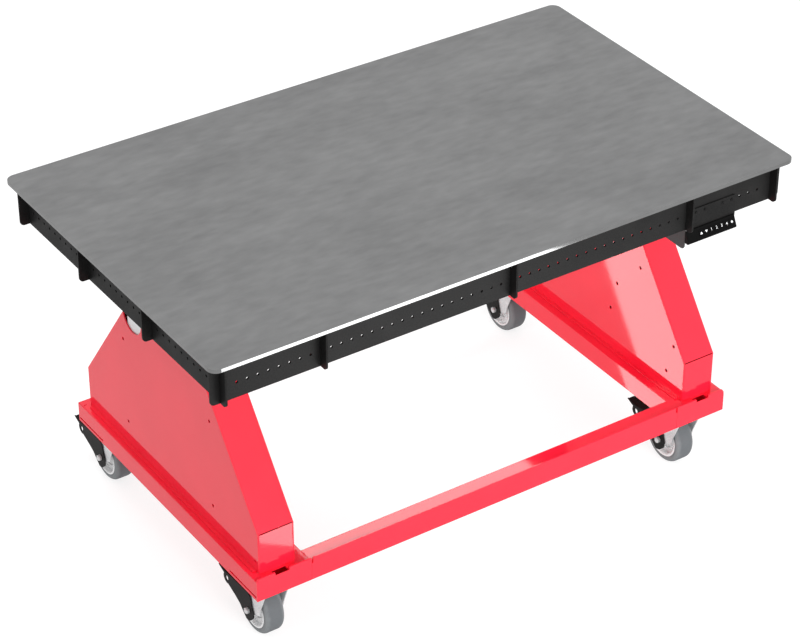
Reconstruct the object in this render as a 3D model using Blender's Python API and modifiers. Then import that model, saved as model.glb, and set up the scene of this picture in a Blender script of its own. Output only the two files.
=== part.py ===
"""Adjustable height welding table.

A thick steel plate lies on a grid of half-lapped ribs. Two telescopic lift columns carry the grid, each
inside a folded sheet pedestal that stands on a side rail. Two beams join the rails, and four swivel
casters with brake pedals carry the base. A handset under the front rib works the lift.

Metres, +Z up, +X along the table, the handset at the front (-Y). The origin is on the floor, under the
middle of the table top.
"""

from math import atan2, cos, pi, radians, sin

import bmesh
import bpy
from mathutils import Matrix, Vector

# Gaps between pieces
SEAT_GAP = 0.0003
CUT_MARGIN = 0.02

# Table top
TOP_LENGTH = 1.524
TOP_WIDTH = 0.9144
TOP_THICKNESS = 0.0095
TOP_CORNER_RADIUS = 0.02

# Rib grid
RIB_DEPTH = 0.1016
RIB_THICKNESS = 0.0048
RIB_END_INSET = 0.0127
OUTER_RIB_INSET = 0.0381
CROSS_RIB_SPACING = 0.4826
INNER_LONG_RIB_OFFSET = 0.1397
RIB_CORNER_RADIUS = 0.010
RIB_SLOT_CLEARANCE = 0.0003
RIB_HOLE_RADIUS = 0.004
RIB_HOLE_PITCH = 0.0254
RIB_HOLE_DROP = 0.064
RIB_HOLE_MARGIN = 0.020
RIB_HOLE_SIDES = 6

# Side rails, beams and caster pads
RAIL_CENTRE_X = 0.57785
RAIL_WIDTH = 0.1397
RAIL_LENGTH = 0.8136
RAIL_HEIGHT = 0.0515
RAIL_SHEET = 0.0048
END_WALL_RISE = 0.0085
END_NOTCH_WIDTH = 0.036
END_NOTCH_DEPTH = 0.012
END_NOTCH_RELIEF = 0.009
BEAM_WIDTH = 0.0468
PAD_LENGTH = 0.1175
PAD_THICKNESS = 0.00635
PAD_SLOT_HEIGHT = 0.005

# Pedestals
PEDESTAL_CENTRE_X = 0.5824
PEDESTAL_WIDTH = 0.0898
PEDESTAL_DEPTH = 0.767
PEDESTAL_SKIRT_HEIGHT = 0.106
PEDESTAL_HEIGHT = 0.3877
PEDESTAL_TOP_DEPTH = 0.3496
PEDESTAL_SHEET = 0.003
MOTOR_NOTCH_RADIUS = 0.042
MOTOR_NOTCH_Y = 0.143
MOTOR_NOTCH_DROP = 0.009
PANEL_HOLE_RADIUS = 0.0035
PANEL_HOLE_SIDES = 8
PANEL_HOLE_HALF_SPAN = 0.191
PANEL_HOLE_HEIGHTS = (0.065, 0.294)
COVER_HOLE_SPACING = (0.2286, 0.0825)
COVER_HOLE_CENTRE = (0.1626, 0.1226)
COVER_HOLE_TURN = radians(14.6)
COVER_SINGLE_HOLE = (0.1791, 0.2794)

# Lift columns
OUTER_TUBE_WIDTH = 0.080
OUTER_TUBE_DEPTH = 0.120
OUTER_TUBE_LENGTH = 0.470
TUBE_WALL = 0.003
TUBE_CLEARANCE = 0.0005
MIDDLE_TUBE_STAND = 0.012
INNER_TUBE_STAND = 0.0397
COLUMN_FOOT_DEPTH = 0.170
COLUMN_FOOT_THICKNESS = 0.006
MOTOR_SIDE_GAP = 0.001
MOTOR_HEIGHT = 0.155
MOTOR_TOP_HEIGHT = 0.384
MOTOR_REAR_GAP = 0.002
MOTOR_EDGE = 0.003
HEAD_PLATE_WIDTH = 0.120
HEAD_PLATE_DEPTH = 0.330
HEAD_PLATE_THICKNESS = 0.006
HEAD_SCREW_SPACING_X = 0.094
HEAD_SCREW_SPACING_Y = 0.160

# Controls
CONTROL_PLATE_THICKNESS = 0.0024
CONTROL_PLATE_LENGTH = 0.180
CONTROL_PLATE_DROP = 0.058
CONTROL_PLATE_RISE = 0.060
CONTROL_PLATE_CORNER = 0.012
CONTROL_BOX_WIDTH = 0.060
CONTROL_BOX_LENGTH = 0.140
CONTROL_BOX_HEIGHT = 0.052
CONTROL_BOX_EDGE = 0.004
BRACKET_WIDTH = 0.122
BRACKET_OFFSET = 0.078
BRACKET_THICKNESS = 0.0024
BRACKET_RISE = 0.011
BRACKET_HOLES = (1, 2, 4, 5)
HANDSET_WIDTH = 0.139
HANDSET_OFFSET = 0.065
HANDSET_HEIGHT = 0.031
HANDSET_DROP = 0.001
HANDSET_TOP_DEPTH = 0.003
HANDSET_BOTTOM_DEPTH = 0.016
HANDSET_FACE_DROP = 0.0265
HANDSET_CHIN = 0.004
BUTTON_NAMES = ("up", "down", "preset_1", "preset_2", "preset_3", "preset_4", "memory")
BUTTON_PITCH = 0.0147
BUTTON_ROW_OFFSET = 0.0143
BUTTON_WIDTH = 0.012
BUTTON_HEIGHT = 0.014
BUTTON_THICKNESS = 0.0025
BUTTON_PROUD = 0.0008
BUTTON_TRAVEL = 0.0006

# Casters
CASTER_HEIGHT = 0.172
CASTER_INSET_Y = 0.06505
WHEEL_RADIUS = 0.0635
WHEEL_TRAIL = 0.038
TYRE_WIDTH = 0.049
TYRE_INNER_RADIUS = 0.048
WHEEL_STEPS = 24
HUB_RIM_WIDTH = 0.048
HUB_RIM_RADIUS = 0.042
HUB_WEB_THICKNESS = 0.010
HUB_BOSS_RADIUS = 0.014
HUB_BOSS_WIDTH = 0.052
AXLE_RADIUS = 0.005
AXLE_CLEARANCE = 0.00015
AXLE_STEPS = 12
FORK_SIDE_GAP = 0.0025
FORK_SHEET = 0.003
FORK_CROWN_THICKNESS = 0.006
FORK_CROWN_FRONT = 0.032
FORK_CROWN_REAR = 0.030
FORK_EAR_RADIUS = 0.013
FORK_KNEE_FRONT = 0.0065
FORK_KNEE_RISE = 0.012
RACEWAY_RADIUS = 0.029
RACEWAY_HEIGHT = 0.014
RACEWAY_STEPS = 16
CASTER_PLATE_WIDTH = 0.1016
CASTER_PLATE_LENGTH = 0.1016
CASTER_PLATE_THICKNESS = 0.005
CASTER_BOLT_SPACING_X = 0.074
CASTER_BOLT_SPACING_Y = 0.080
PEDAL_SHEET = 0.0025
PEDAL_SIDE_GAP = 0.0005
PEDAL_LOWER_EDGE = (
    (-0.021, -0.003),
    (-0.0195, -0.014),
    (-0.003, -0.030),
    (0.010, -0.033),
    (0.029, -0.016),
    (0.038, -0.007),
    (0.058, 0.003),
)
PEDAL_UPPER_EDGE = ((0.098, 0.043), (0.070, 0.046), (0.000, 0.048), (-0.0095, 0.042), (-0.0125, 0.025))
PEDAL_REACH = 0.127
PEDAL_RISE = 0.048
PEDAL_TREAD_LENGTH = 0.050
PEDAL_TREAD_FALL = 0.017
PEDAL_EYE_CENTRE = (0.092, 0.029)
PEDAL_EYE_RING = 0.015
PEDAL_EYE_RADIUS = 0.005
PEDAL_EYE_HEIGHT = 0.014
AXLE_NUT_RADIUS = 0.009
AXLE_NUT_THICKNESS = 0.009

# Bolts
BOLT_RADIUS = 0.003
BOLT_HOLE_CLEARANCE = 0.001
BOLT_HEAD_RADIUS = 0.0065
BOLT_HEAD_HEIGHT = 0.005
BOLT_END = 0.004
BOLT_FUSE = 0.0005

# Heights and lines that pieces share
SIDES = {"left": -1, "right": 1}
RAIL_TOP = CASTER_HEIGHT + RAIL_HEIGHT
PEDESTAL_FOOT = RAIL_TOP + SEAT_GAP
COLUMN_FOOT = RAIL_TOP + SEAT_GAP
COLUMN_TOP = COLUMN_FOOT + OUTER_TUBE_LENGTH + INNER_TUBE_STAND
HEAD_PLATE_BOTTOM = COLUMN_TOP + SEAT_GAP
RIB_BOTTOM = HEAD_PLATE_BOTTOM + HEAD_PLATE_THICKNESS + SEAT_GAP
RIB_TOP = RIB_BOTTOM + RIB_DEPTH
TOP_BOTTOM = RIB_TOP + SEAT_GAP
RIB_HOLE_HEIGHT = RIB_DEPTH - RIB_HOLE_DROP
LONG_RIB_LENGTH = TOP_LENGTH - 2 * RIB_END_INSET
CROSS_RIB_LENGTH = TOP_WIDTH - 2 * RIB_END_INSET
END_RIB_X = TOP_LENGTH / 2 - OUTER_RIB_INSET
FRONT_RIB_Y = TOP_WIDTH / 2 - OUTER_RIB_INSET
LONG_RIBS = {
    "front_rib": -FRONT_RIB_Y,
    "front_inner_rib": -INNER_LONG_RIB_OFFSET,
    "rear_inner_rib": INNER_LONG_RIB_OFFSET,
    "rear_rib": FRONT_RIB_Y,
}
CROSS_RIBS = {
    "left_end_rib": -END_RIB_X,
    "left_rib": -CROSS_RIB_SPACING,
    "centre_rib": 0.0,
    "right_rib": CROSS_RIB_SPACING,
    "right_end_rib": END_RIB_X,
}
DRILLED_RIBS = ("front_rib", "rear_rib", "left_end_rib", "right_end_rib")
BOLT_HOLE_RADIUS = BOLT_RADIUS + BOLT_HOLE_CLEARANCE
CASTER_Y = RAIL_LENGTH / 2 - CASTER_INSET_Y
FORK_INSIDE = HUB_BOSS_WIDTH / 2 + FORK_SIDE_GAP
FORK_OUTSIDE = FORK_INSIDE + FORK_SHEET
PEDAL_INSIDE = FORK_OUTSIDE + PEDAL_SIDE_GAP
PEDAL_OUTSIDE = PEDAL_INSIDE + PEDAL_SHEET
CASTER_PLATE_BOTTOM = CASTER_HEIGHT - SEAT_GAP - CASTER_PLATE_THICKNESS
RACEWAY_TOP = CASTER_PLATE_BOTTOM - SEAT_GAP
FORK_TOP = RACEWAY_TOP - RACEWAY_HEIGHT + FORK_CROWN_THICKNESS / 2
HANDSET_BACK_Y = -FRONT_RIB_Y - RIB_THICKNESS / 2 - BRACKET_THICKNESS - 2 * SEAT_GAP
HANDSET_TOP = RIB_BOTTOM - HANDSET_DROP
HANDSET_TILT = atan2(HANDSET_BOTTOM_DEPTH - HANDSET_TOP_DEPTH, HANDSET_FACE_DROP)

# Turns that stand a flat outline in the YZ or the XZ plane, and a turned profile along X
IN_YZ = (pi / 2, 0, pi / 2)
IN_XZ = (pi / 2, 0, 0)
ALONG_X = (0, pi / 2, 0)


def clear_scene():
    for item in list(bpy.data.objects):
        bpy.data.objects.remove(item, do_unlink=True)


def new_collection(name):
    collection = bpy.data.collections.new(name)
    bpy.context.scene.collection.children.link(collection)
    return collection


def new_material(name, colour, roughness, metallic):
    material = bpy.data.materials.new(name)
    material.use_nodes = True
    shader = material.node_tree.nodes["Principled BSDF"]
    shader.inputs["Base Color"].default_value = (*colour, 1)
    shader.inputs["Roughness"].default_value = roughness
    shader.inputs["Metallic"].default_value = metallic
    return material


clear_scene()
PARTS = new_collection("welding_table")
CUTTERS = new_collection("cutters")
PLATE_STEEL = new_material("plate_steel", (0.24, 0.24, 0.24), 0.45, 0.9)
BLACK_PAINT = new_material("black_paint", (0.03, 0.03, 0.03), 0.5, 0.0)
RED_PAINT = new_material("red_paint", (0.85, 0.03, 0.05), 0.3, 0.0)
COLUMN_GREY = new_material("column_grey", (0.62, 0.63, 0.63), 0.4, 0.0)
MOTOR_GREY = new_material("motor_grey", (0.62, 0.63, 0.63), 0.45, 0.3)
SHEET_GREY = new_material("sheet_grey", (0.09, 0.10, 0.10), 0.5, 0.3)
BLACK_PLASTIC = new_material("black_plastic", (0.015, 0.015, 0.015), 0.4, 0.0)
ZINC = new_material("zinc", (0.72, 0.73, 0.74), 0.35, 0.8)
WHEEL_WHITE = new_material("wheel_white", (0.75, 0.76, 0.77), 0.45, 0.0)
GREY_RUBBER = new_material("grey_rubber", (0.21, 0.22, 0.23), 0.7, 0.0)


def place(item, collection, location=(0, 0, 0), rotation=(0, 0, 0), parent=None):
    collection.objects.link(item)
    item.location = location
    item.rotation_euler = rotation
    item.parent = parent
    return item


def add_part(name, mesh, material, location=(0, 0, 0), rotation=(0, 0, 0), parent=None):
    item = place(bpy.data.objects.new(name, mesh), PARTS, location, rotation, parent)
    if not mesh.materials:
        mesh.materials.append(material)
    return item


def add_cutter(name, mesh, location=(0, 0, 0), rotation=(0, 0, 0)):
    item = place(bpy.data.objects.new(name, mesh), CUTTERS, location, rotation)
    item.hide_render = True
    item.display_type = "WIRE"
    return item


def add_empty(name, location):
    return place(bpy.data.objects.new(name, None), PARTS, location)


def combine(target, tool, operation="DIFFERENCE"):
    modifier = target.modifiers.new(operation.lower(), "BOOLEAN")
    modifier.operation = operation
    modifier.solver = "EXACT"
    modifier.object = tool


def finished_mesh(item):
    """The object's evaluated mesh, turned as the object was, its doubles welded. The object is removed."""
    evaluated = item.evaluated_get(bpy.context.evaluated_depsgraph_get())
    mesh = bpy.data.meshes.new_from_object(evaluated)
    mesh.transform(evaluated.matrix_world)
    mesh.name = item.name
    bpy.data.objects.remove(item, do_unlink=True)
    work = bmesh.new()
    work.from_mesh(mesh)
    bmesh.ops.remove_doubles(work, verts=work.verts, dist=0.00001)
    bmesh.ops.recalc_face_normals(work, faces=work.faces)
    work.to_mesh(mesh)
    work.free()
    return mesh


def box_mesh(name, size):
    work = bmesh.new()
    bmesh.ops.create_cube(work, size=1, matrix=Matrix.Diagonal((*size, 1)))
    mesh = bpy.data.meshes.new(name)
    work.to_mesh(mesh)
    work.free()
    return mesh


def rounded_box_mesh(name, size, edge):
    item = place(bpy.data.objects.new(name, box_mesh(name, size)), CUTTERS)
    bevel = item.modifiers.new("rounded edges", "BEVEL")
    bevel.width = edge
    bevel.segments = 2
    return finished_mesh(item)


def span_box(name, low, high):
    """A box between two corners: its mesh and its middle."""
    low, high = Vector(low), Vector(high)
    return box_mesh(name, high - low), (low + high) / 2


def outline_mesh(name, loops, thickness):
    """A flat outline with holes, thickened evenly to both sides."""
    curve = bpy.data.curves.new(name, "CURVE")
    curve.dimensions = "2D"
    curve.fill_mode = "BOTH"
    curve.extrude = thickness / 2
    for loop in loops:
        spline = curve.splines.new("POLY")
        spline.points.add(len(loop) - 1)
        for point, (along, up) in zip(spline.points, loop):
            point.co = (along, up, 0, 1)
        spline.use_cyclic_u = True
    return finished_mesh(place(bpy.data.objects.new(name, curve), CUTTERS))


def turned_mesh(name, profile, steps, closed):
    """A profile of (radius, height) turned about Z. A closed profile is a ring."""
    mesh = bpy.data.meshes.new(name)
    edges = [(index, index + 1) for index in range(len(profile) - 1)]
    if closed:
        edges.append((len(profile) - 1, 0))
    mesh.from_pydata([(radius, 0, height) for radius, height in profile], edges, [])
    item = place(bpy.data.objects.new(name, mesh), CUTTERS)
    screw = item.modifiers.new("turned", "SCREW")
    screw.steps = steps
    screw.render_steps = steps
    screw.use_merge_vertices = True
    screw.merge_threshold = 0.00001
    turned = finished_mesh(item)
    turned.shade_smooth()
    turned.set_sharp_from_angle(angle=radians(35))
    return turned


def group_mesh(name, members):
    """One mesh of separate solids, from pairs of a mesh and its place."""
    work = bmesh.new()
    for mesh, matrix in members:
        start = len(work.verts)
        work.from_mesh(mesh)
        work.verts.ensure_lookup_table()
        bmesh.ops.transform(work, matrix=matrix, verts=work.verts[start:])
    grouped = bpy.data.meshes.new(name)
    work.to_mesh(grouped)
    work.free()
    return grouped


def arc(centre, radius, start, end, steps):
    """Points along an arc, from a start to an end angle in degrees."""
    turns = [radians(start + (end - start) * index / steps) for index in range(steps + 1)]
    return [(centre[0] + radius * cos(turn), centre[1] + radius * sin(turn)) for turn in turns]


def circle(centre, radius, sides):
    return arc(centre, radius, 0, 360 - 360 / sides, sides - 1)


def rectangle(width, height, centre=(0, 0)):
    along, up = centre
    return [
        (along - width / 2, up - height / 2),
        (along + width / 2, up - height / 2),
        (along + width / 2, up + height / 2),
        (along - width / 2, up + height / 2),
    ]


def rounded_rectangle(width, height, radius, steps):
    across, up = width / 2 - radius, height / 2 - radius
    corners = [(across, -up, -90), (across, up, 0), (-across, up, 90), (-across, -up, 180)]
    return [point for x, y, turn in corners for point in arc((x, y), radius, turn, turn + 90, steps)]


def bolt_mesh(name, grip):
    """A hexagon bolt, head down: its head's seat is just above height 0, fused into the plate it clamps,
    and its shank rises past its grip."""
    profile = [
        (0, grip + BOLT_END),
        (BOLT_RADIUS, grip + BOLT_END),
        (BOLT_RADIUS, BOLT_FUSE),
        (BOLT_HEAD_RADIUS, BOLT_FUSE),
        (BOLT_HEAD_RADIUS, -BOLT_HEAD_HEIGHT),
        (0, -BOLT_HEAD_HEIGHT),
    ]
    return turned_mesh(name, profile, 6, closed=False)


def rib_outline(length, crossings, slots_on_top):
    """A rib from below: rounded lower corners, and a slot to half its depth at each crossing rib."""
    half = length / 2
    slot = RIB_THICKNESS / 2 + RIB_SLOT_CLEARANCE
    slot_depth = (RIB_DEPTH + RIB_SLOT_CLEARANCE) / 2
    inner = half - RIB_CORNER_RADIUS
    lower, upper = [], []
    for place_along in crossings:
        edges = (place_along - slot, place_along + slot)
        lower += [(edges[0], 0), (edges[0], slot_depth), (edges[1], slot_depth), (edges[1], 0)]
        floor = RIB_DEPTH - slot_depth
        upper += [(edges[0], RIB_DEPTH), (edges[0], floor), (edges[1], floor), (edges[1], RIB_DEPTH)]
    outline = arc((-inner, RIB_CORNER_RADIUS), RIB_CORNER_RADIUS, 180, 270, 3)
    outline += [] if slots_on_top else lower
    outline += arc((inner, RIB_CORNER_RADIUS), RIB_CORNER_RADIUS, 270, 360, 3)
    outline += [(half, RIB_DEPTH)]
    outline += upper[::-1] if slots_on_top else []
    outline += [(-half, RIB_DEPTH)]
    return outline


def rib_hole_places(crossings):
    """Places along a rib on the hole pitch, counted from a middle crossing and clear of every crossing."""
    start = crossings[len(crossings) // 2]
    reach = int((crossings[-1] - crossings[0]) / RIB_HOLE_PITCH)
    row = [start + RIB_HOLE_PITCH * step for step in range(-reach, reach + 1)]
    inside = [along for along in row if crossings[0] < along < crossings[-1]]
    return [along for along in inside if min(abs(along - rib) for rib in crossings) > RIB_HOLE_MARGIN]


def rib_mesh(name, length, crossings, slots_on_top):
    loops = [rib_outline(length, crossings, slots_on_top)]
    if name in DRILLED_RIBS:
        for along in rib_hole_places(crossings):
            loops.append(circle((along, RIB_HOLE_HEIGHT), RIB_HOLE_RADIUS, RIB_HOLE_SIDES))
    return outline_mesh(name, loops, RIB_THICKNESS)


def build_top():
    plate = rounded_rectangle(TOP_LENGTH, TOP_WIDTH, TOP_CORNER_RADIUS, 5)
    height = TOP_BOTTOM + TOP_THICKNESS / 2
    add_part("table_top", outline_mesh("table_top", [plate], TOP_THICKNESS), PLATE_STEEL, (0, 0, height))


def build_ribs():
    across, along = list(CROSS_RIBS.values()), list(LONG_RIBS.values())
    for name, place_y in LONG_RIBS.items():
        mesh = rib_mesh(name, LONG_RIB_LENGTH, across, slots_on_top=True)
        add_part(name, mesh, BLACK_PAINT, (0, place_y, RIB_BOTTOM), IN_XZ)
    for name, place_x in CROSS_RIBS.items():
        mesh = rib_mesh(name, CROSS_RIB_LENGTH, along, slots_on_top=False)
        add_part(name, mesh, BLACK_PAINT, (place_x, 0, RIB_BOTTOM), IN_YZ)


def build_rail(side_name):
    """A folded rail, open below, with a welded pad at each end for a caster and a slot over each pad in
    its outer side. Its front wall stands above the ledge and has a notch, and the ledge is open just
    behind it."""
    side = SIDES[side_name]
    name = side_name + "_rail"
    middle = Vector((side * RAIL_CENTRE_X, 0, 0))
    half_width, half_length = RAIL_WIDTH / 2, RAIL_LENGTH / 2
    end_top = RAIL_TOP + END_WALL_RISE
    low, high = (-half_width, -half_length, CASTER_HEIGHT), (half_width, half_length, end_top)
    mesh, centre = span_box(name, low, high)
    rail = add_part(name, mesh, RED_PAINT, middle + centre)

    inside_x, inside_y = half_width - RAIL_SHEET, half_length - RAIL_SHEET
    past_x, past_y = half_width + CUT_MARGIN, half_length + CUT_MARGIN
    pad_edge = half_length - PAD_LENGTH
    pad_top = CASTER_HEIGHT + PAD_THICKNESS
    slot_top = pad_top + PAD_SLOT_HEIGHT
    slot_left, slot_right = sorted((side * (inside_x - RAIL_SHEET), side * past_x))
    notch_x = side * (PEDESTAL_CENTRE_X - RAIL_CENTRE_X)
    notch_left, notch_right = notch_x - END_NOTCH_WIDTH / 2, notch_x + END_NOTCH_WIDTH / 2
    relief_end = END_NOTCH_RELIEF - inside_y
    cuts = {
        "mouth": ((-inside_x, -pad_edge, CASTER_HEIGHT - CUT_MARGIN), (inside_x, pad_edge, slot_top)),
        "hollow": ((-inside_x, -inside_y, pad_top), (inside_x, inside_y, RAIL_TOP - RAIL_SHEET)),
        "ledge": ((-past_x, -inside_y, RAIL_TOP), (past_x, past_y, end_top + CUT_MARGIN)),
        "front_slot": ((slot_left, -inside_y, pad_top), (slot_right, -pad_edge, slot_top)),
        "rear_slot": ((slot_left, pad_edge, pad_top), (slot_right, inside_y, slot_top)),
        "notch": (
            (notch_left, -past_y, end_top - END_NOTCH_DEPTH),
            (notch_right, relief_end, end_top + CUT_MARGIN),
        ),
        "relief": (
            (notch_left, -inside_y, RAIL_TOP - 2 * RAIL_SHEET),
            (notch_right, relief_end, end_top + CUT_MARGIN),
        ),
    }
    for cut_name, (low, high) in cuts.items():
        cut_mesh, cut_centre = span_box(f"{name}_{cut_name}", low, high)
        combine(rail, add_cutter(f"{name}_{cut_name}", cut_mesh, middle + cut_centre))

    drill = outline_mesh("pad_drill", [circle((0, 0), BOLT_HOLE_RADIUS, 6)], 4 * PAD_THICKNESS)
    places = [(x, end * CASTER_Y + y) for end in (-1, 1) for x, y in caster_bolt_places()]
    drills = group_mesh(name + "_bolt_holes", [(drill, Matrix.Translation((x, y, 0))) for x, y in places])
    combine(rail, add_cutter(name + "_bolt_holes", drills, middle + Vector((0, 0, CASTER_HEIGHT))))


def build_beam(name, end, lip_rise):
    """A channel open below, between the two rails, whose outer wall may stand above its top as a lip."""
    half_length = RAIL_CENTRE_X - RAIL_WIDTH / 2 - SEAT_GAP
    half = BEAM_WIDTH / 2
    inside = half - RAIL_SHEET
    under = RAIL_HEIGHT - RAIL_SHEET
    right = [(inside, under), (inside, 0), (half, 0), (half, RAIL_HEIGHT + lip_rise)]
    if lip_rise > 0:
        right += [(inside, RAIL_HEIGHT + lip_rise), (inside, RAIL_HEIGHT)]
    left = [(-half, RAIL_HEIGHT), (-half, 0), (-inside, 0), (-inside, under)]
    section = [(end * along, up) for along, up in right + left]
    mesh = outline_mesh(name, [section], 2 * half_length)
    add_part(name, mesh, RED_PAINT, (0, end * (RAIL_LENGTH / 2 - half), CASTER_HEIGHT), IN_YZ)


def caster_places():
    """Each caster's name and its swivel axis."""
    places = {}
    for end_name, end in (("front", -1), ("rear", 1)):
        for side_name, side in SIDES.items():
            places[f"{end_name}_{side_name}"] = (side * RAIL_CENTRE_X, end * CASTER_Y)
    return places


def caster_bolt_places():
    return rectangle(CASTER_BOLT_SPACING_X, CASTER_BOLT_SPACING_Y)


def build_caster_plates():
    """Each caster's top plate, under its rail's pad, with the bolts that hold it there."""
    grip = CASTER_PLATE_THICKNESS + PAD_THICKNESS + SEAT_GAP
    bolt = bolt_mesh("caster_bolt", grip)
    plate_size = (CASTER_PLATE_WIDTH, CASTER_PLATE_LENGTH, CASTER_PLATE_THICKNESS)
    for caster, (x, y) in caster_places().items():
        name = caster + "_caster_plate"
        height = CASTER_PLATE_BOTTOM + CASTER_PLATE_THICKNESS / 2
        plate = add_part(name, box_mesh(name, plate_size), ZINC, (x, y, height))
        seats = [Matrix.Translation((bolt_x, bolt_y, 0)) for bolt_x, bolt_y in caster_bolt_places()]
        bolts = group_mesh(name + "_bolts", [(bolt, seat) for seat in seats])
        combine(plate, add_cutter(name + "_bolts", bolts, (x, y, CASTER_PLATE_BOTTOM)), "UNION")


def pedestal_slope():
    """The sloped flange's lean: how far it runs in for each metre of rise, and the sine of its angle."""
    run = (PEDESTAL_DEPTH - PEDESTAL_TOP_DEPTH) / 2
    rise = PEDESTAL_HEIGHT - PEDESTAL_SKIRT_HEIGHT
    return run / rise, sin(atan2(rise, run))


def flange_inside(height):
    """How far from the middle the sloped flange's inner face lies, at a height above the pedestal's foot."""
    lean, slant = pedestal_slope()
    outside = PEDESTAL_DEPTH / 2 - (height - PEDESTAL_SKIRT_HEIGHT) * lean
    return outside - PEDESTAL_SHEET / slant


def pedestal_outline():
    half, top_half = PEDESTAL_DEPTH / 2, PEDESTAL_TOP_DEPTH / 2
    right = [(half, 0), (half, PEDESTAL_SKIRT_HEIGHT), (top_half, PEDESTAL_HEIGHT)]
    return right + [(-along, up) for along, up in reversed(right)]


def pedestal_hollow():
    inside = PEDESTAL_DEPTH / 2 - PEDESTAL_SHEET
    lean, slant = pedestal_slope()
    bend = PEDESTAL_SKIRT_HEIGHT + (PEDESTAL_SHEET - PEDESTAL_SHEET / slant) / lean
    above = PEDESTAL_HEIGHT + CUT_MARGIN
    right = [(inside, -CUT_MARGIN), (inside, bend), (flange_inside(above), above)]
    return right + [(-along, up) for along, up in reversed(right)]


def motor_notch(side_name, piece):
    """The round cut at the rear of a pedestal's top, through its whole width."""
    name = f"{side_name}_{piece}_notch"
    profile = circle((MOTOR_NOTCH_Y, PEDESTAL_HEIGHT - MOTOR_NOTCH_DROP), MOTOR_NOTCH_RADIUS, 32)
    mesh = outline_mesh(name, [profile], PEDESTAL_WIDTH + 2 * CUT_MARGIN)
    return add_cutter(name, mesh, (SIDES[side_name] * PEDESTAL_CENTRE_X, 0, PEDESTAL_FOOT), IN_YZ)


def build_pedestal(side_name):
    """A folded shell, its outer panel and flanges in one, and a flat cover that closes its inner side."""
    side = SIDES[side_name]
    outside = side * (PEDESTAL_CENTRE_X + PEDESTAL_WIDTH / 2)
    shell_width = PEDESTAL_WIDTH - PEDESTAL_SHEET - SEAT_GAP
    shell_name, cover_name = side_name + "_pedestal_shell", side_name + "_pedestal_cover"

    shell_mesh = outline_mesh(shell_name, [pedestal_outline()], shell_width)
    shell_x = outside - side * shell_width / 2
    shell = add_part(shell_name, shell_mesh, RED_PAINT, (shell_x, 0, PEDESTAL_FOOT), IN_YZ)
    hollow_mesh = outline_mesh(shell_name + "_hollow", [pedestal_hollow()], shell_width)
    hollow_x = shell_x - side * PEDESTAL_SHEET
    combine(shell, add_cutter(shell_name + "_hollow", hollow_mesh, (hollow_x, 0, PEDESTAL_FOOT), IN_YZ))
    combine(shell, motor_notch(side_name, "shell"))
    bore = circle((0, 0), PANEL_HOLE_RADIUS, PANEL_HOLE_SIDES)
    drill = outline_mesh("panel_drill", [bore], 4 * PEDESTAL_SHEET)
    places = [(y, z) for y in (-PANEL_HOLE_HALF_SPAN, PANEL_HOLE_HALF_SPAN) for z in PANEL_HOLE_HEIGHTS]
    drills = group_mesh(shell_name + "_holes", [(drill, Matrix.Translation((y, z, 0))) for y, z in places])
    combine(shell, add_cutter(shell_name + "_holes", drills, (outside, 0, PEDESTAL_FOOT), IN_YZ))

    span, drop = COVER_HOLE_SPACING
    turn = Matrix.Rotation(COVER_HOLE_TURN, 2)
    front_foot = Vector((-PEDESTAL_DEPTH / 2, 0))
    centre = front_foot + Vector(COVER_HOLE_CENTRE)
    spots = [turn @ Vector(corner) + centre for corner in rectangle(span, drop)]
    spots.append(front_foot + Vector(COVER_SINGLE_HOLE))
    holes = [circle(spot, PANEL_HOLE_RADIUS, PANEL_HOLE_SIDES) for spot in spots]
    cover_mesh = outline_mesh(cover_name, [pedestal_outline(), *holes], PEDESTAL_SHEET)
    cover_x = side * (PEDESTAL_CENTRE_X - PEDESTAL_WIDTH / 2 + PEDESTAL_SHEET / 2)
    cover = add_part(cover_name, cover_mesh, RED_PAINT, (cover_x, 0, PEDESTAL_FOOT), IN_YZ)
    combine(cover, motor_notch(side_name, "cover"))


def tube_mesh(name, width, depth, length):
    """A rectangular tube whose foot is at height 0."""
    loops = [rectangle(width, depth), rectangle(width - 2 * TUBE_WALL, depth - 2 * TUBE_WALL)]
    mesh = outline_mesh(name, loops, length)
    mesh.transform(Matrix.Translation((0, 0, length / 2)))
    return mesh


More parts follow.
